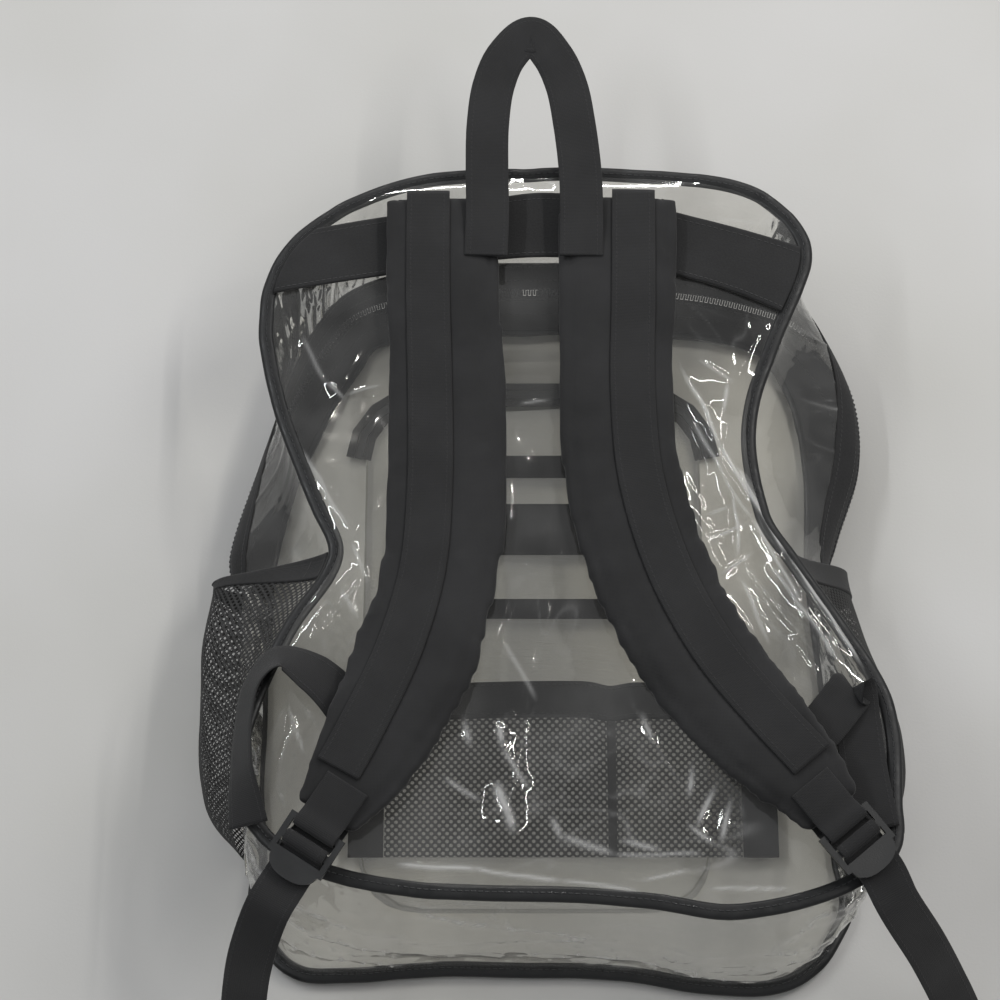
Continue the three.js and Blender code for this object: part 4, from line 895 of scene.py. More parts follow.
def binding_look():
    """A glossy folded vinyl binding: a soft sheen, small puckers and a row of stitches on each face."""
    look = Look("binding")
    uv = look.place(True)
    pucker = look.noise(look.place(), 120, 3)
    sewn = stitches(look, uv, (5.0, 13.5), 3.6, 0.6, 0.7)
    bend = look.bump(pucker, 0.0009, 0.35)
    bend = look.bump(sewn, 0.0006, 0.9, bend)
    base = look.mix(sewn, (0.013, 0.0135, 0.014), (0.055, 0.056, 0.058))
    return look.surface(Base_Color=base, Roughness=look.ramp(pucker, 0.3, 0.7, 0.3, 0.5), Normal=bend,
                        Specular_IOR_Level=0.5)


def plastic_look(name, colour, rough=0.42):
    """Moulded plastic with a fine grain and a few smooth, worn places."""
    look = Look(name)
    place = look.place()
    grain = look.noise(place, 1400, 2)
    worn = look.noise(place, 45, 4)
    bend = look.bump(grain, 0.00012, 0.5)
    base = look.mix(look.ramp(worn, 0.35, 0.7), colour, toned(colour, 1.5))
    return look.surface(Base_Color=base, Roughness=look.ramp(worn, 0.3, 0.7, rough - 0.08, rough + 0.1),
                        Normal=bend, Specular_IOR_Level=0.5)


def thread_look():
    """Knitted threads: black, a little shiny, finely twisted."""
    look = Look("net_thread")
    place = look.place()
    twist = look.noise(place, 1500, 2)
    soft = look.noise(place, 35, 3)
    base = look.mix(look.ramp(soft, 0.3, 0.7), (0.018, 0.018, 0.018), (0.034, 0.034, 0.034))
    return look.surface(Base_Color=base, Roughness=0.5, Normal=look.bump(twist, 0.0002, 0.5),
                        Specular_IOR_Level=0.5)


CLEAR = clear_sheet("clear_sheet", 0.3, (0.972, 0.967, 0.946), 0.06)
BOTTOM_CLEAR = clear_sheet("bottom_clear_sheet", 0.4, (0.82, 0.818, 0.805), 0.12)
INNER_CLEAR = clear_sheet("inner_clear_sheet", 0.5, (0.965, 0.96, 0.938), 0.0)
BINDING = binding_look()
CLOTH_LOOK = woven("black_cloth", (0.02, 0.02, 0.0205), 1.0, (2.5, 40.5))
TAPE = woven("zip_tape", (0.018, 0.018, 0.0185), 0.8, (2.2, 11.0), 3.0, 1.2)
HEM = woven("pocket_binding", (0.019, 0.019, 0.0195), 0.9, (2.0, 13.6))
BAND = woven("inner_band", (0.024, 0.024, 0.0245), 1.0, (2.0, 18.5))
WEB = webbing_look("webbing")
PADDED = padded_look()
PLASTIC = plastic_look("black_plastic", (0.017, 0.0175, 0.018))
TEETH = plastic_look("zip_teeth", (0.02, 0.021, 0.023), 0.34)
THREAD = thread_look()


# Panels

STRAP_LINES = [np.stack([t[:, 0] * HALF_WIDTH, t[:, 1] * HALF_HEIGHT, t[:, 2] * STRAP_WIDTH / 2], -1)
               for t in (LEFT_STRAP, RIGHT_STRAP)]


def clear_of_straps(x, y):
    """0 under the straps, the yoke and the webbings, and 1 well away from them."""
    near = np.full(x.shape, 1e9)
    for line in STRAP_LINES:
        dense = curve(line, np.linspace(0, 1, 50))
        for px, py, half in dense:
            near = np.minimum(near, np.hypot(x - px, y - py) - half)
    for table in (LEFT_ADJUSTER, RIGHT_ADJUSTER):
        for px, py in table[:, :2] * (HALF_WIDTH, HALF_HEIGHT):
            near = np.minimum(near, np.hypot(x - px, y - py) - 13)
    share = np.clip(x / (0.85 * HALF_WIDTH), -1, 1)
    yoke = np.abs(y - read(YOKE_LINE, share)[..., 0] * HALF_HEIGHT) - YOKE_WIDTH / 2
    return smooth(np.minimum(near, yoke), 0, 14)


def panel_points(place, height, columns, rows):
    """A square grid pressed into the rounded outline and drawn in under the binding."""
    v, u = grid(-1, 1, rows, -1, 1, columns)
    share = np.maximum(np.abs(u), np.abs(v))
    size = np.where(share > 0, share / np.maximum(round_norm(u, v), 1e-9), 1)
    points = place(u * size, v * size)
    _, inward = rim(place, rim_walk(np.where(share > 0, u, 1), v))
    points = points + inward * ((BINDING_WIDTH - 2.5) * share**4)[..., None]
    points[..., 2] = height(points[..., 0], points[..., 1])
    return points, share


def back_panel():
    """The clear back panel: its even form, with crumples, long folds and waves where nothing holds it."""
    def height(x, y):
        rest = clear_of_straps(x, y)
        waves = 0.9 * noise(x, y, 62, 3) + 0.35 * noise(x, y, 27, 4)
        faint = 0.5 * folded(x, y, 24, 68, 6, 5) + 0.4 * folded(x, y, 21, -64, 7, 6)
        edge = 1 - back_share(x, y) ** 16
        return back_height(x, y) + (crumpled(x, y) + long_folds(x, y)[0] + waves + faint) * rest * edge

    points, _ = panel_points(back_place, height, PANEL_COLUMNS, PANEL_ROWS)
    obj = surface("clear_back_panel", points, CLEAR, ["back_panel"], "clear_sheet", (0, 0, 1))
    x, y = points[..., 0], points[..., 1]
    # Painted highlight along the fold crests, kept off where the straps, yoke and webbings lie.
    mark_crease_highlights(obj, long_folds(x, y)[1] * clear_of_straps(x, y))


def front_panel():
    """The clear front panel, which lies almost flat on the floor."""
    def height(x, y):
        return FRONT_LEVEL + 0.12 * noise(x, y, 40, 8)

    points, _ = panel_points(front_place, height, FRONT_COLUMNS, FRONT_ROWS)
    surface("clear_front_panel", points, INNER_CLEAR, ["front_panel"], "clear_sheet", (0, 0, -1))


def binding_ring(name, place, node):
    """A rounded section carried round the rim, its height and width gently puckered."""
    walk = np.linspace(0, 1, RIM_STEPS, endpoint=False)
    along, still = walk * RIM_WALK, walk * 0
    centre, inward = rim(place, walk, BINDING_WIDTH / 2)
    centre = centre + inward * (0.7 * noise(along, still, 45, 2) + 0.3 * noise(along, still, 16, 3))[:, None]
    section = profile(BINDING_WIDTH + 0.6, BINDING_THICKNESS, 20, 2.6)
    pucker = 1 + 0.04 * noise(along, still, 7, 5) + 0.03 * noise(along, still, 19, 6)
    body = (centre[:, None] + inward[:, None] * section[None, :, :1]
            + UP * (section[None, :, 1:] * pucker[:, None, None]))
    body = np.concatenate([body, body[:1]])
    flat = running(section)
    uv = np.stack([np.broadcast_to(lengths(body)[:, None], body.shape[:2]),
                   np.broadcast_to(flat, body.shape[:2])], -1)
    faces = grid_faces(len(body), len(section), wrap=True)
    middle = section[None] * np.ones((len(body) - 1, 1, 1))
    outward = (inward[:, None] * middle[..., :1] + UP * middle[..., 1:]).reshape(-1, 3)
    mesh_object(name, body, faces, uv, BINDING, [node], "binding", outward)


def wall_sheet(name, start, end, top, bottom, material, node, slot, thickness=0.0, rough=1.0,
               count=300):
    """Part of the side wall between two walks and two shares of its height, with soft dents."""
    walk, down = grid(start, end, count, top, bottom, WALL_DROPS)
    points = wall(walk, down)
    outward = wall_outward(walk)
    if rough:
        around = walk * WALL_WALK
        drop = down * DEPTH
        inside = smooth(down, 0.0, 0.12) * smooth(1 - down, 0.0, 0.12)
        way = 8 if name == "clear_bottom_gusset" else 55
        big = folded(around, drop, BIG_FOLD, way, 5, 51)
        small = folded(around, drop, 8, way - 12, 6, 53)
        dent = (2.4 * big + 1.0 * small + 0.8 * creased(around, drop, 16, 55)
                + 1.6 * noise(around, drop, 44, 57))
        points = points + outward * ((dent - 1.4) * rough * inside)[..., None]
    obj = surface(name, points, material, [node], slot, outward[:-1, :-1].reshape(-1, 3), thickness)
    if rough:
        # Painted highlight along the gusset's sharpest folds, in cloudy patches.
        some = smooth(noise(around, drop, 50, 61), -0.4, 0.5)
        mark_crease_highlights(obj, (big**7 + 0.6 * small**6) * rough * inside * some)


# Shares of a walk round the rim and of the wall's height
POCKET_LINE = 9 / 20 / 4
POCKET_END = 0.25 / 20
CHAIN_FROM = 1 - (ZIP_TAPE_WIDTH + 2.5 * GAP + ZIP_CHAIN_WIDTH) / DEPTH
TAPE_SHARE = ZIP_TAPE_WIDTH / DEPTH
ZIP_GAP = 2.5 * GAP / DEPTH


def walls_and_zip():
    """The clear gussets round the bag, the zip's two tapes and its staggered teeth."""
    top, other = POCKET_LINE, 0.75 - POCKET_LINE
    wall_sheet("clear_right_gusset", 0, top, 0, 1, CLEAR, "right_gusset", "clear_sheet", rough=0.7)
    wall_sheet("clear_left_gusset", other, 0.75, 0, 1, CLEAR, "left_gusset", "clear_sheet", rough=0.7)
    wall_sheet("clear_bottom_gusset", 0.75, 1, 0, 1, BOTTOM_CLEAR, "bottom_gusset", "clear_sheet")
    wall_sheet("clear_upper_gusset", top, other, 0, CHAIN_FROM - TAPE_SHARE - 2 * ZIP_GAP + 0.01, CLEAR,
               "upper_gusset", "clear_sheet", rough=0.35, count=ZIP_STEPS)
    wall_sheet("rear_zip_tape", top, other, CHAIN_FROM - ZIP_GAP - TAPE_SHARE, CHAIN_FROM + 0.012, TAPE,
               "main_zip_rear_tape", "black_cloth", 1.0, 0, ZIP_STEPS)
    wall_sheet("front_zip_tape", top, other, 1 - TAPE_SHARE - 0.02, 1, TAPE, "main_zip_front_tape",
               "black_cloth", 1.0, 0, ZIP_STEPS)
    count = ZIP_TEETH
    walk = np.linspace(top + 0.001, other - 0.001, 4000)
    run = running(wall(walk, np.full(len(walk), CHAIN_FROM + 0.03)))
    walk = np.interp(np.linspace(0, run[-1], count), run, walk)
    middle = CHAIN_FROM + ZIP_CHAIN_WIDTH / DEPTH / 2
    origin = wall(walk, np.full(count, middle))
    along = unit(np.gradient(origin, axis=0))
    across = unit(wall(walk, np.full(count, middle - 0.03)) - origin)
    out = np.cross(along, across)
    out = out * np.sign((out * -rim(back_place, walk)[1]).sum(-1, keepdims=True))
    shift = np.where(np.arange(count) % 2 == 0, TOOTH_SHIFT, -TOOTH_SHIFT)[:, None]
    signs = (-1, 1)
    corners = np.array([[x, y, z] for x in signs for y in signs for z in signs]) * TOOTH
    corners[:, 0] *= np.where(corners[:, 2] > 0, 0.7, 1)
    quads = np.array([[0, 1, 3, 2], [4, 6, 7, 5], [0, 4, 5, 1], [2, 3, 7, 6], [0, 2, 6, 4], [1, 5, 7, 3]])
    repeat("zip_teeth", corners, quads, origin + across * shift + out * 0.2,
           np.stack([along, across, out], 1), TEETH, ["main_zip_chain"], "black_plastic")


def yoke():
    """The yoke band: two curved edges between the bindings, laid on the back panel with a few ripples."""
    share, across = grid(-1, 1, 260, -0.5, 0.5, 28)
    y = read(YOKE_LINE, share)[..., 0] * HALF_HEIGHT + across * YOKE_WIDTH
    b = y / HALF_HEIGHT
    row = read(SECTIONS, b)
    narrow = (1 - np.abs(b) ** CORNER_POWER) ** (1 / CORNER_POWER)
    slope = rim(back_place, rim_walk(np.where(share < 0, -1.0, 1.0), b / narrow))[1]
    half = half_width(row, share, BACK_LEFT, BACK_RIGHT) * narrow
    x = share * (half - (BINDING_WIDTH - 1) / np.maximum(0.5, np.abs(slope[..., 0])))
    ripple = 0.35 * noise(x, y, 24, 71) + 0.2 * noise(x, y, 9, 72)
    z = back_height(x, y) + SHEET / 2 + 2 * GAP + CLOTH / 2 + ripple * smooth(np.abs(share), 0.3, 0.6)
    surface("yoke_cloth", np.stack([x, y, z], -1), CLOTH_LOOK, ["yoke_band"], "black_cloth", (0, 0, 1), CLOTH)


# Straps and webbings

def strap_line(table, count):
    """The strap's middle line over the highest part of the panel below its width, as in the part."""
    places = table[:, :2] * (HALF_WIDTH, HALF_HEIGHT)
    before = np.vstack([places[:1], places[:-1]])
    after = np.vstack([places[1:], places[-1:]])
    way = unit(after - before)
    reach = np.linspace(-0.5, 0.5, 5) * STRAP_WIDTH * table[:, 2:3]
    top = back_height(places[:, :1] + way[:, 1:] * reach, places[:, 1:] - way[:, :1] * reach).max(1)
    z = top + SHEET / 2 + table[:, 3] * STRAP_THICKNESS + STRAP_THICKNESS / 2
    shares = np.linspace(0, 1, count)
    points = curve(np.column_stack([places, z]), shares)
    width = np.interp(shares * (len(table) - 1), np.arange(len(table)), table[:, 2])
    tangent = unit(np.gradient(points, axis=0))
    side = unit(np.cross(tangent, UP))
    return points, side, unit(np.cross(side, tangent)), tangent, width


def puff(obj):
    """Blows the strap up like foam in a sewn cover: a short cloth run, its moves held to STRAP_SWELL."""
    bpy.context.view_layer.objects.active = obj
    remesh = obj.modifiers.new("even", "REMESH")
    remesh.mode = "VOXEL"
    remesh.voxel_size = STRAP_VOXEL / 1000
    depsgraph = bpy.context.evaluated_depsgraph_get()
    even = bpy.data.meshes.new_from_object(obj.evaluated_get(depsgraph))
    obj.modifiers.remove(remesh)
    obj.data = even
    start = np.empty(len(even.vertices) * 3)
    even.vertices.foreach_get("co", start)
    cloth = obj.modifiers.new("cloth", "CLOTH")
    settings = cloth.settings
    settings.use_pressure = True
    settings.uniform_pressure_force = 4.0
    settings.effector_weights.gravity = 0.0
    settings.quality = 6
    settings.tension_stiffness = settings.compression_stiffness = 30
    settings.bending_stiffness = 6.0
    cloth.point_cache.frame_start, cloth.point_cache.frame_end = 1, PUFF_FRAMES
    for step in range(1, PUFF_FRAMES + 1):
        bpy.context.scene.frame_set(step)
    done = bpy.data.meshes.new_from_object(obj.evaluated_get(bpy.context.evaluated_depsgraph_get()))
    moved = np.empty_like(start)
    done.vertices.foreach_get("co", moved)
    obj.modifiers.remove(cloth)
    bpy.context.scene.frame_set(1)
    start, moved = start.reshape(-1, 3), moved.reshape(-1, 3)
    step = moved - start
    size = np.linalg.norm(step, axis=1, keepdims=True)
    step *= np.minimum(1, STRAP_SWELL / 1000 / np.maximum(size, 1e-9))
    even.vertices.foreach_set("co", (start + step).ravel())
    even.update()


def channels(obj, points, side, normal, width, way):
    """Evens both edges, sinks a sewn channel along them and puckers the face between them.

    The remesh leaves an edge in small steps, so each cell of the strap's length is drawn out, or in, to
    half the strap's width there. Under the sewn webbing, which lies to the given way, the face stays low.
    """
    mesh = obj.data
    co = np.empty(len(mesh.vertices) * 3)
    mesh.vertices.foreach_get("co", co)
    co = co.reshape(-1, 3) * 1000
    nearest = ((co[:, None, :2] - points[None, :, :2]) ** 2).sum(-1).argmin(1)
    across = ((co - points[nearest]) * side[nearest]).sum(-1)
    line = running(points)
    along = line[nearest] + ((co - points[nearest]) * unit(np.gradient(points, axis=0))[nearest]).sum(-1)
    even = across.copy()
    for hand in (-1, 1):
        cell = np.clip(along / EDGE_CELL, 0, line[-1] / EDGE_CELL).astype(int)
        reach = np.ones(cell.max() + 1)
        np.maximum.at(reach, cell[across * hand > 0], np.abs(across)[across * hand > 0])
        middle = (np.arange(len(reach)) + 0.5) * EDGE_CELL
        ratio = np.clip(np.interp(middle, line, width * STRAP_WIDTH / 2 + 0.6) / reach, 0.93, 1.12)
        pull = (np.interp(along, middle, ratio) - 1) * smooth(np.abs(across), 12, 28)
        even = np.where(across * hand > 0, across * (1 + pull), even)
    co += side[nearest] * (even - across)[:, None]
    across = even
    edge = width[nearest] * STRAP_WIDTH / 2 - np.abs(across)
    groove = np.exp(-((edge - CHANNEL_INSET) / 1.7) ** 2)
    up = np.sign(co[:, 2] - points[nearest, 2])
    co[:, 2] -= CHANNEL_DEPTH * groove * up
    inner = smooth(edge, 2, 9)
    seed = 90 if points[0, 0] < 0 else 120
    pucker = 0.9 * noise(across / 2.2, along, 13, seed) + 0.5 * noise(across, along, 8, seed + 1)
    co[:, 2] += pucker * inner * np.where(up > 0, 0.55, 0.15)
    still = along * 0
    wander = 0.9 * noise(along, still, 38, seed + 2) + 0.4 * noise(along, still, 13, seed + 3)
    co += side[nearest] * (wander * np.sign(across) * smooth(np.abs(across), 4, 18))[:, None]
    rise = ((co - points[nearest]) * normal[nearest]).sum(-1)
    off = np.abs(across - way[nearest, 0] * STRAP_WEBBING_OFFSET)
    under = smooth(WEBBING_WIDTH / 2 + 4 - off, 0, 3)
    co -= normal[nearest] * (under * np.maximum(0, rise - (STRAP_THICKNESS / 2 - 0.25)))[:, None]
    mesh.vertices.foreach_set("co", (co / 1000).ravel())
    mesh.update()


def padded_strap(side_name, table):
    """A shoulder strap, puffed and sewn, with the webbing that is sewn along it nearer the outer edge."""
    points, side, normal, tangent, width = strap_line(table, STRAP_STEPS)
    section = profile(1.0, STRAP_THICKNESS - GAP, STRAP_SIDES, 5.0)
    section = np.stack([section[None, :, 0] * STRAP_WIDTH * width[:, None],
                        np.broadcast_to(section[:, 1], (STRAP_STEPS, STRAP_SIDES))], -1)
    obj = tube(f"{side_name}_strap", points, side, normal, section, PADDED, [f"{side_name}_padded_strap"],
               "black_cloth")
    puff(obj)
    soft = obj.modifiers.new("soft", "SMOOTH")
    soft.factor = 0.5
    soft.iterations = 4
    finer = obj.modifiers.new("finer", "SUBSURF")
    finer.levels = finer.render_levels = 1
    obj.data = bpy.data.meshes.new_from_object(obj.evaluated_get(bpy.context.evaluated_depsgraph_get()))
    obj.modifiers.clear()
    way = np.where(side[:, :1] < 0, 1.0, -1.0) * (-1 if side_name == "right" else 1)
    channels(obj, points, side, normal, width, way)
    obj.data.materials.clear()
    obj.data.materials.append(PADDED)
    obj.data.polygons.foreach_set("use_smooth", np.ones(len(obj.data.polygons), bool))
    lift = STRAP_THICKNESS / 2 + GAP + WEBBING / 2
    seat = points + side * way * STRAP_WEBBING_OFFSET + normal * np.sign(normal[:, 2:]) * (lift - 0.5)
    seat = seat[:SEWN_STEPS]
    across, up = frames_along(seat, side[:SEWN_STEPS])
    tube(f"{side_name}_sewn_webbing", seat, across, up, profile(WEBBING_WIDTH, WEBBING, WEBBING_SIDES, 5.0),
         WEB, [f"{side_name}_strap_webbing"], "black_cloth")
    return points, tangent, normal


def lock_axes(end, tangent):
    """The ladder lock's place and axes: x along its bars, y towards the strap, tipped down at the tail."""
    to_strap = -unit(tangent * (1, 1, 0))
    across = unit(np.cross(to_strap, UP))
    reach = LOCK_BAR / 2 + LOCK_STRAP_SLOT + LOCK_BAR + LOCK_REACH
    middle = end - to_strap * reach + UP * (STRAP_THICKNESS / 2 - LOCK_THICKNESS / 2)
    tip = np.radians(LOCK_TILT)
    y_axis = to_strap * np.cos(tip) + UP * np.sin(tip)
    z_axis = UP * np.cos(tip) - to_strap * np.sin(tip)
    return middle, across, y_axis, z_axis


def turning(rows, sides, counts, name, node):
    """A webbing through the given points whose width turns from side to side between them."""
    rows, sides = np.asarray(rows, float), np.asarray(sides, float)
    places = np.concatenate([k + np.arange(c) / c for k, c in enumerate(counts)] + [[len(rows) - 1]])
    points = curve(rows, places / (len(rows) - 1))
    points[:, 2] = np.maximum(points[:, 2], WEBBING / 2 + GAP / 2)
    k = np.minimum(places.astype(int), len(rows) - 2)
    side = sides[k] + (sides[k + 1] - sides[k]) * (places - k)[:, None]
    side, normal = frames_along(points, side)
    tube(name, points, side, normal, profile(WEBBING_WIDTH, WEBBING, WEBBING_SIDES, 5.0), WEB, [node],
         "black_cloth")


def facing(degrees, lean):
    """The way that a webbing's width points: turned about the upright, then tipped up."""
    turn, tip = np.radians(degrees), np.radians(lean)
    return np.stack([np.cos(turn) * np.cos(tip), np.sin(turn) * np.cos(tip), np.sin(tip)], -1)


def stub_and_adjuster(side_name, table, tail, end, tangent, normal):
    """The stub that holds the ladder lock, and the webbing from the side seam through the lock to its tail.

    Places near the lock are steps along its own axes, in millimetres from its middle bar.
    """
    middle, across, y_axis, z_axis = lock_axes(end, tangent)

    def placed(y, z):
        return middle + y_axis * y + z_axis * z

    bar = LOCK_THICKNESS / 2 + GAP + WEBBING / 2
    bar_end = LOCK_BAR / 2 + LOCK_STRAP_SLOT
    turn = bar_end - GAP - WEBBING / 2
    over = normal * np.sign(normal[2]) * (STRAP_THICKNESS / 2 + GAP + WEBBING / 2)
    rows = [end - tangent * d + over for d in (STUB_LENGTH * 0.55, STUB_LENGTH * 0.25, 0)]
    rows += [placed(y, z) for y, z in (
        (bar_end + LOCK_BAR * 0.8, bar + GAP / 4), (bar_end, bar + GAP / 4), (turn, bar * 0.75),
        (turn - 0.2, 0), (turn, -bar * 0.75), (bar_end, -bar), (bar_end + LOCK_BAR * 0.8, -bar))]
    turning(rows, [across] * len(rows), [10] * (len(rows) - 1), f"{side_name}_stub_webbing",
            f"{side_name}_stub")

    place = table[:, :2] * (HALF_WIDTH, HALF_HEIGHT)
    sides = facing(table[:, 3], table[:, 4])
    reach = np.linspace(-0.5, 0.5, 5) * WEBBING_WIDTH
    top = (seat_height(place[:, :1] + sides[:, :1] * reach, place[:, 1:] + sides[:, 1:2] * reach)
           - sides[:, 2:] * reach).max(1)
    first = np.column_stack([place, top + table[:, 2] * WEBBING])
    under = STRAP_THICKNESS / 2 + GAP + WEBBING
    leaving = [end - tangent * d - UP * under for d in (5, 0, -2.5)]
    below = -bar - WEBBING - GAP
    slot = LOCK_BAR / 2 + GAP + WEBBING / 2
    tab = -LOCK_BAR / 2 - LOCK_TAIL_SLOT
    wrap = [placed(y, z) for y, z in (
        (9, below - 0.7), (6.2, below + 0.1), (slot + 0.2, -bar * 0.7), (slot, 0.3), (slot * 0.8, bar * 0.8),
        (0, bar + 0.2), (-slot * 0.85, bar * 0.75), (-slot - 0.1, 0), (-slot - 1.2, -bar * 0.9),
        (tab - 1, -bar - 0.2), (tab - LOCK_BAR - LOCK_TAB, -bar - 0.6))]
    last = tail[:, :3] * (HALF_WIDTH, HALF_HEIGHT, DEPTH)
    rows = np.vstack([first, leaving, wrap, last])
    every = np.vstack([sides, [-across] * (len(leaving) + len(wrap)), facing(tail[:, 3] + 180, tail[:, 4])])
    start = len(first) + len(leaving) - 1
    counts = [14 if k < start or k >= start + len(wrap) - 1 else 10 for k in range(len(rows) - 1)]
    turning(rows, every, counts, f"{side_name}_adjuster_webbing", f"{side_name}_adjuster")


def handle(strap_top):
    """The top handle: a webbing that stands out flat from the yoke in a pointed loop."""
    points = HANDLE_LINE * (HALF_WIDTH, HALF_HEIGHT, DEPTH) + UP * (strap_top + GAP + WEBBING / 2)
    line = curve(points, np.linspace(0, 1, 320))
    tangent = unit(np.gradient(line, axis=0))
    side = np.stack([tangent[:, 1], -tangent[:, 0], 0 * tangent[:, 0]], -1)
    side, normal = frames_along(line, side)
    section = profile(WEBBING_WIDTH, WEBBING + 0.3, WEBBING_SIDES, 5.0)
    tube("handle_webbing", line, side, normal, section, WEB, ["top_handle"], "black_cloth")


# Nets and pockets

def side_pocket(side_name, top, bottom):
    """The mesh pocket bows out from the side wall and closes on it at the bottom, under a cloth band."""
    way = np.sign(bottom - top)
    hem = way * POCKET_BINDING_WIDTH / (4 * BODY_HEIGHT)
    seam = way * 2 * GAP / (4 * BODY_HEIGHT)

    def cloth(walk, down):
        closing = (walk - top) / (bottom - top)
        return wall(walk, down, POCKET_INSET, 1 - np.clip(closing, 0, 1) ** 6)

    start = top + hem + 0.5 * seam

    def place(a, b):
        walk = start + (bottom - start) * a
        out = wall_outward(walk)
        ruffle = 0.9 * noise(walk * WALL_WALK, b * 100, 26, 81) * smooth(b, 0, 0.1) * smooth(1 - b, 0, 0.1)
        return cloth(walk, b) + out * ruffle[..., None], out

    net(f"{side_name}_net", place, *POCKET_NET_SIZE, POCKET_NET_PITCH, THREAD, [f"{side_name}_mesh_pocket"],
        "black_net")
    walk, down = grid(top + seam, top + hem, 16, 0.02, 0.98, 90)
    band = cloth(walk, down)
    surface(f"{side_name}_pocket_hem", band, HEM, [f"{side_name}_pocket_binding"], "black_cloth",
            wall_outward(walk)[:-1, :-1].reshape(-1, 3), 1.8)


def organizer():
    """The net pocket on the front panel: it bulges from its bottom to its hem and is sewn down at a seam."""
    floor = FRONT_LEVEL + SHEET / 2 + GAP
    bottom = ORGANIZER_TOP - ORGANIZER_HEIGHT
    left = ORGANIZER_MIDDLE - ORGANIZER_WIDTH / 2
    hem = ORGANIZER_TOP - HEM_HEIGHT

    def cloth(x, y):
        a = (x - left) / ORGANIZER_WIDTH
        rise = (y - bottom) / ORGANIZER_HEIGHT * 4 * a * (1 - a)
        seam = 1 - 0.75 * np.exp(-((x - ORGANIZER_SEAM) / 9) ** 2)
        return np.stack([x, y, floor + CLOTH / 2 + ORGANIZER_BULGE * rise * seam], -1)

    def place(a, b):
        y = bottom + (hem - bottom) * a
        x = left + ORGANIZER_WIDTH * b
        return cloth(x, y), np.broadcast_to(UP, x.shape + (3,))

    net("organizer_mesh", place, hem - bottom, ORGANIZER_WIDTH, ORGANIZER_NET_PITCH, THREAD,
        ["organizer_net"], "black_net")
    y, x = grid(ORGANIZER_TOP, hem, 12, left, left + ORGANIZER_WIDTH, 120)
    surface("organizer_band", np.transpose(cloth(x, y), (1, 0, 2)), BAND, ["organizer_hem"], "black_cloth",
            (0, 0, 1), CLOTH)
    half = ORGANIZER_SEAM_WIDTH / 2
    y, x = grid(hem, bottom, 50, ORGANIZER_SEAM - half, ORGANIZER_SEAM + half, 6)
    seam = np.transpose(cloth(x, y), (1, 0, 2)) + 0.4 * UP
    surface("organizer_seam", seam, BAND, ["organizer_net"], "black_net", (0, 0, 1), 0.5)


def keep(names, material, bevel):
    """A hard or flat piece keeps its own solid, with rounded edges and a detailed finish."""
    for name in names:
        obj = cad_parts[name]
        obj.data.materials.clear()
        obj.data.materials.append(material)
        if bevel:
            edge = obj.modifiers.new("edge", "BEVEL")
            edge.width = bevel / 1000
            edge.segments = 3
            edge.limit_method = "ANGLE"


back_panel()
front_panel()
binding_ring("back_binding_tape", back_place, "back_binding")
binding_ring("front_binding_tape", front_place, "front_binding")
walls_and_zip()
yoke()
for name, table, route, tail in (("left", LEFT_STRAP, LEFT_ADJUSTER, LEFT_TAIL),
                                 ("right", RIGHT_STRAP, RIGHT_ADJUSTER, RIGHT_TAIL)):
    line, tangents, normals = padded_strap(name, table)
    stub_and_adjuster(name, route, tail, line[-1], tangents[-1], normals[-1])
    if name == "left":
        handle(line[14][2] + STRAP_THICKNESS / 2)
side_pocket("right", POCKET_LINE, POCKET_END)
side_pocket("left", 0.75 - POCKET_LINE, 0.75 - POCKET_END)
organizer()
keep(["left_ladder_lock", "right_ladder_lock", "main_zip_left_slider", "main_zip_right_slider",
      "main_zip_left_pull", "main_zip_right_pull", "front_pocket_slider", "front_pocket_pull"], PLASTIC, 0.6)
keep(["front_pocket_chain"], TEETH, 0.3)
keep(["organizer_left_band", "organizer_right_band", "upper_band", "middle_band", "lower_band",
      "front_pocket_inner_tape", "front_pocket_outer_tape"], PADDED, 0.3)
keep(["front_pocket_panel", "front_pocket_gusset"], INNER_CLEAR, 0)

# Stage: a plain pale floor and soft studio light.

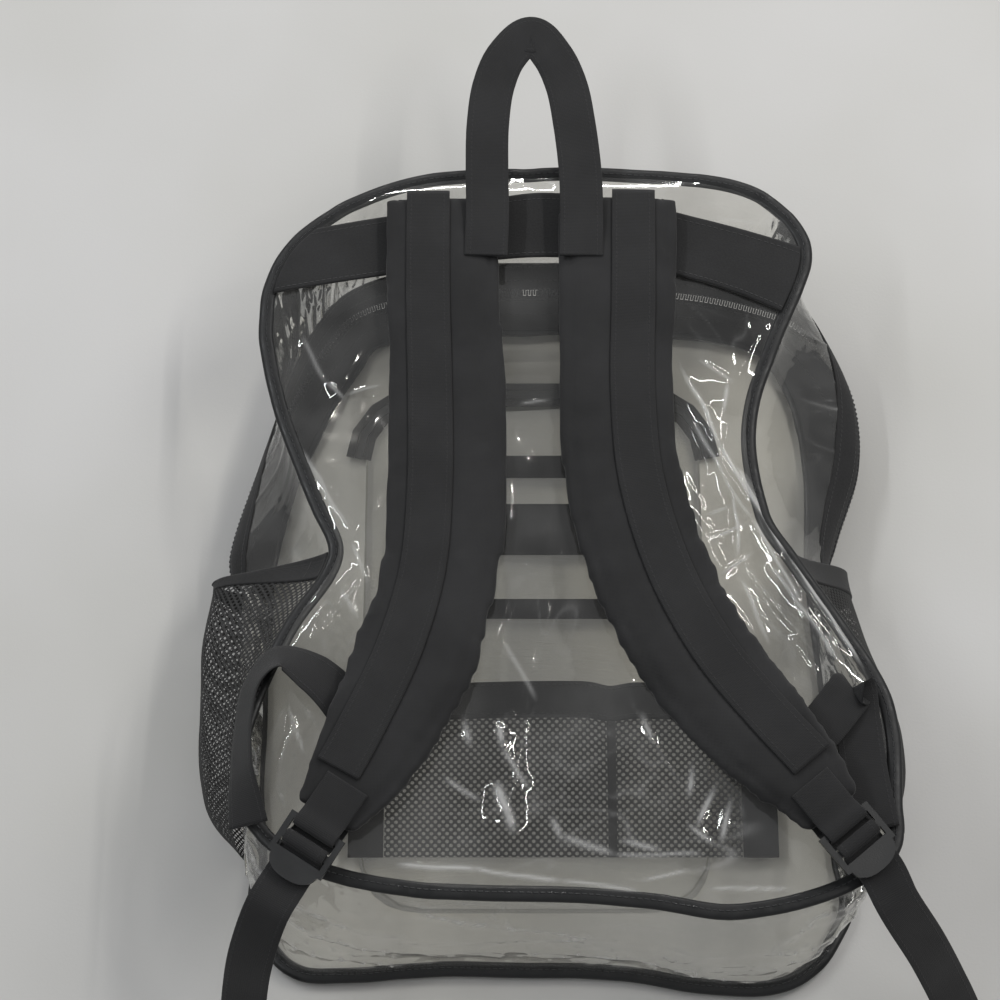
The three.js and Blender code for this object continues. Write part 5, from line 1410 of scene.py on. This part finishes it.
def area_light(name, place, target, size, watts, colour, glints):
    """A soft light aimed at a target. Only one with glints shows in the sheen of sheet and plastic."""
    data = bpy.data.lights.new(name, "AREA")
    data.shape = "RECTANGLE"
    data.size, data.size_y = size
    data.energy = watts
    data.color = colour
    obj = bpy.data.objects.new(name, data)
    obj.location = place
    obj.rotation_euler = (Vector(target) - Vector(place)).to_track_quat("-Z", "Y").to_euler()
    obj.visible_glossy = glints
    bpy.context.scene.collection.objects.link(obj)


def floor():
    """The plain pale floor: large, faintly mottled, with the finest grain."""
    look = Look("pale_floor")
    place = look.place()
    soft = look.noise(place, 3, 3)
    weave = look.noise(place, 600, 2)
    base = look.mix(look.ramp(soft, 0.3, 0.7), (0.6, 0.595, 0.57), (0.66, 0.655, 0.645))
    look.surface(Base_Color=base, Roughness=0.85, Normal=look.bump(weave, 0.0002, 0.3))
    data = bpy.data.meshes.new("floor")
    size = 3.0
    corners = [(-size, -size, 0), (size, -size, 0), (size, size, 0), (-size, size, 0)]
    data.from_pydata(corners, [], [(0, 1, 2, 3)])
    data.materials.append(look.material)
    obj = bpy.data.objects.new("floor", data)
    bpy.context.scene.collection.objects.link(obj)


floor()
area_light("window", (1.5, 1.0, 1.7), (0, 0, 0.05), (1.0, 0.8), 15, (1.0, 0.985, 0.965), False)
area_light("second_window", (-1.5, 0.9, 1.5), (0, 0, 0.05), (0.7, 0.7), 6, (0.95, 0.97, 1.0), False)
area_light("right_strip", (0.85, 0.45, 1.4), (0.0, 0.45, 0.1), (1.7, 0.025), 6.5, (1.0, 0.985, 0.96), True)
area_light("left_strip", (-0.9, 0.4, 1.35), (0.0, 0.4, 0.1), (1.7, 0.025), 6.0, (0.96, 0.98, 1.0), True)
area_light("rear_strip", (0.1, 1.6, 1.05), (0.1, 0.0, 0.1), (1.7, 0.025), 6.0, (1.0, 0.99, 0.98), True)
area_light("bulb", (-0.264, 0.885, 1.71), (-0.13, 0.1, 0.1), (0.012, 0.012), 0.2, (1.0, 0.97, 0.93), True)
world = bpy.data.worlds.new("studio")
bpy.context.scene.world = world
world.use_nodes = True
sky = world.node_tree.nodes["Background"].inputs
sky["Color"].default_value = (0.92, 0.93, 0.95, 1)
sky["Strength"].default_value = 0.27
bpy.context.scene.view_settings.view_transform = "Standard"
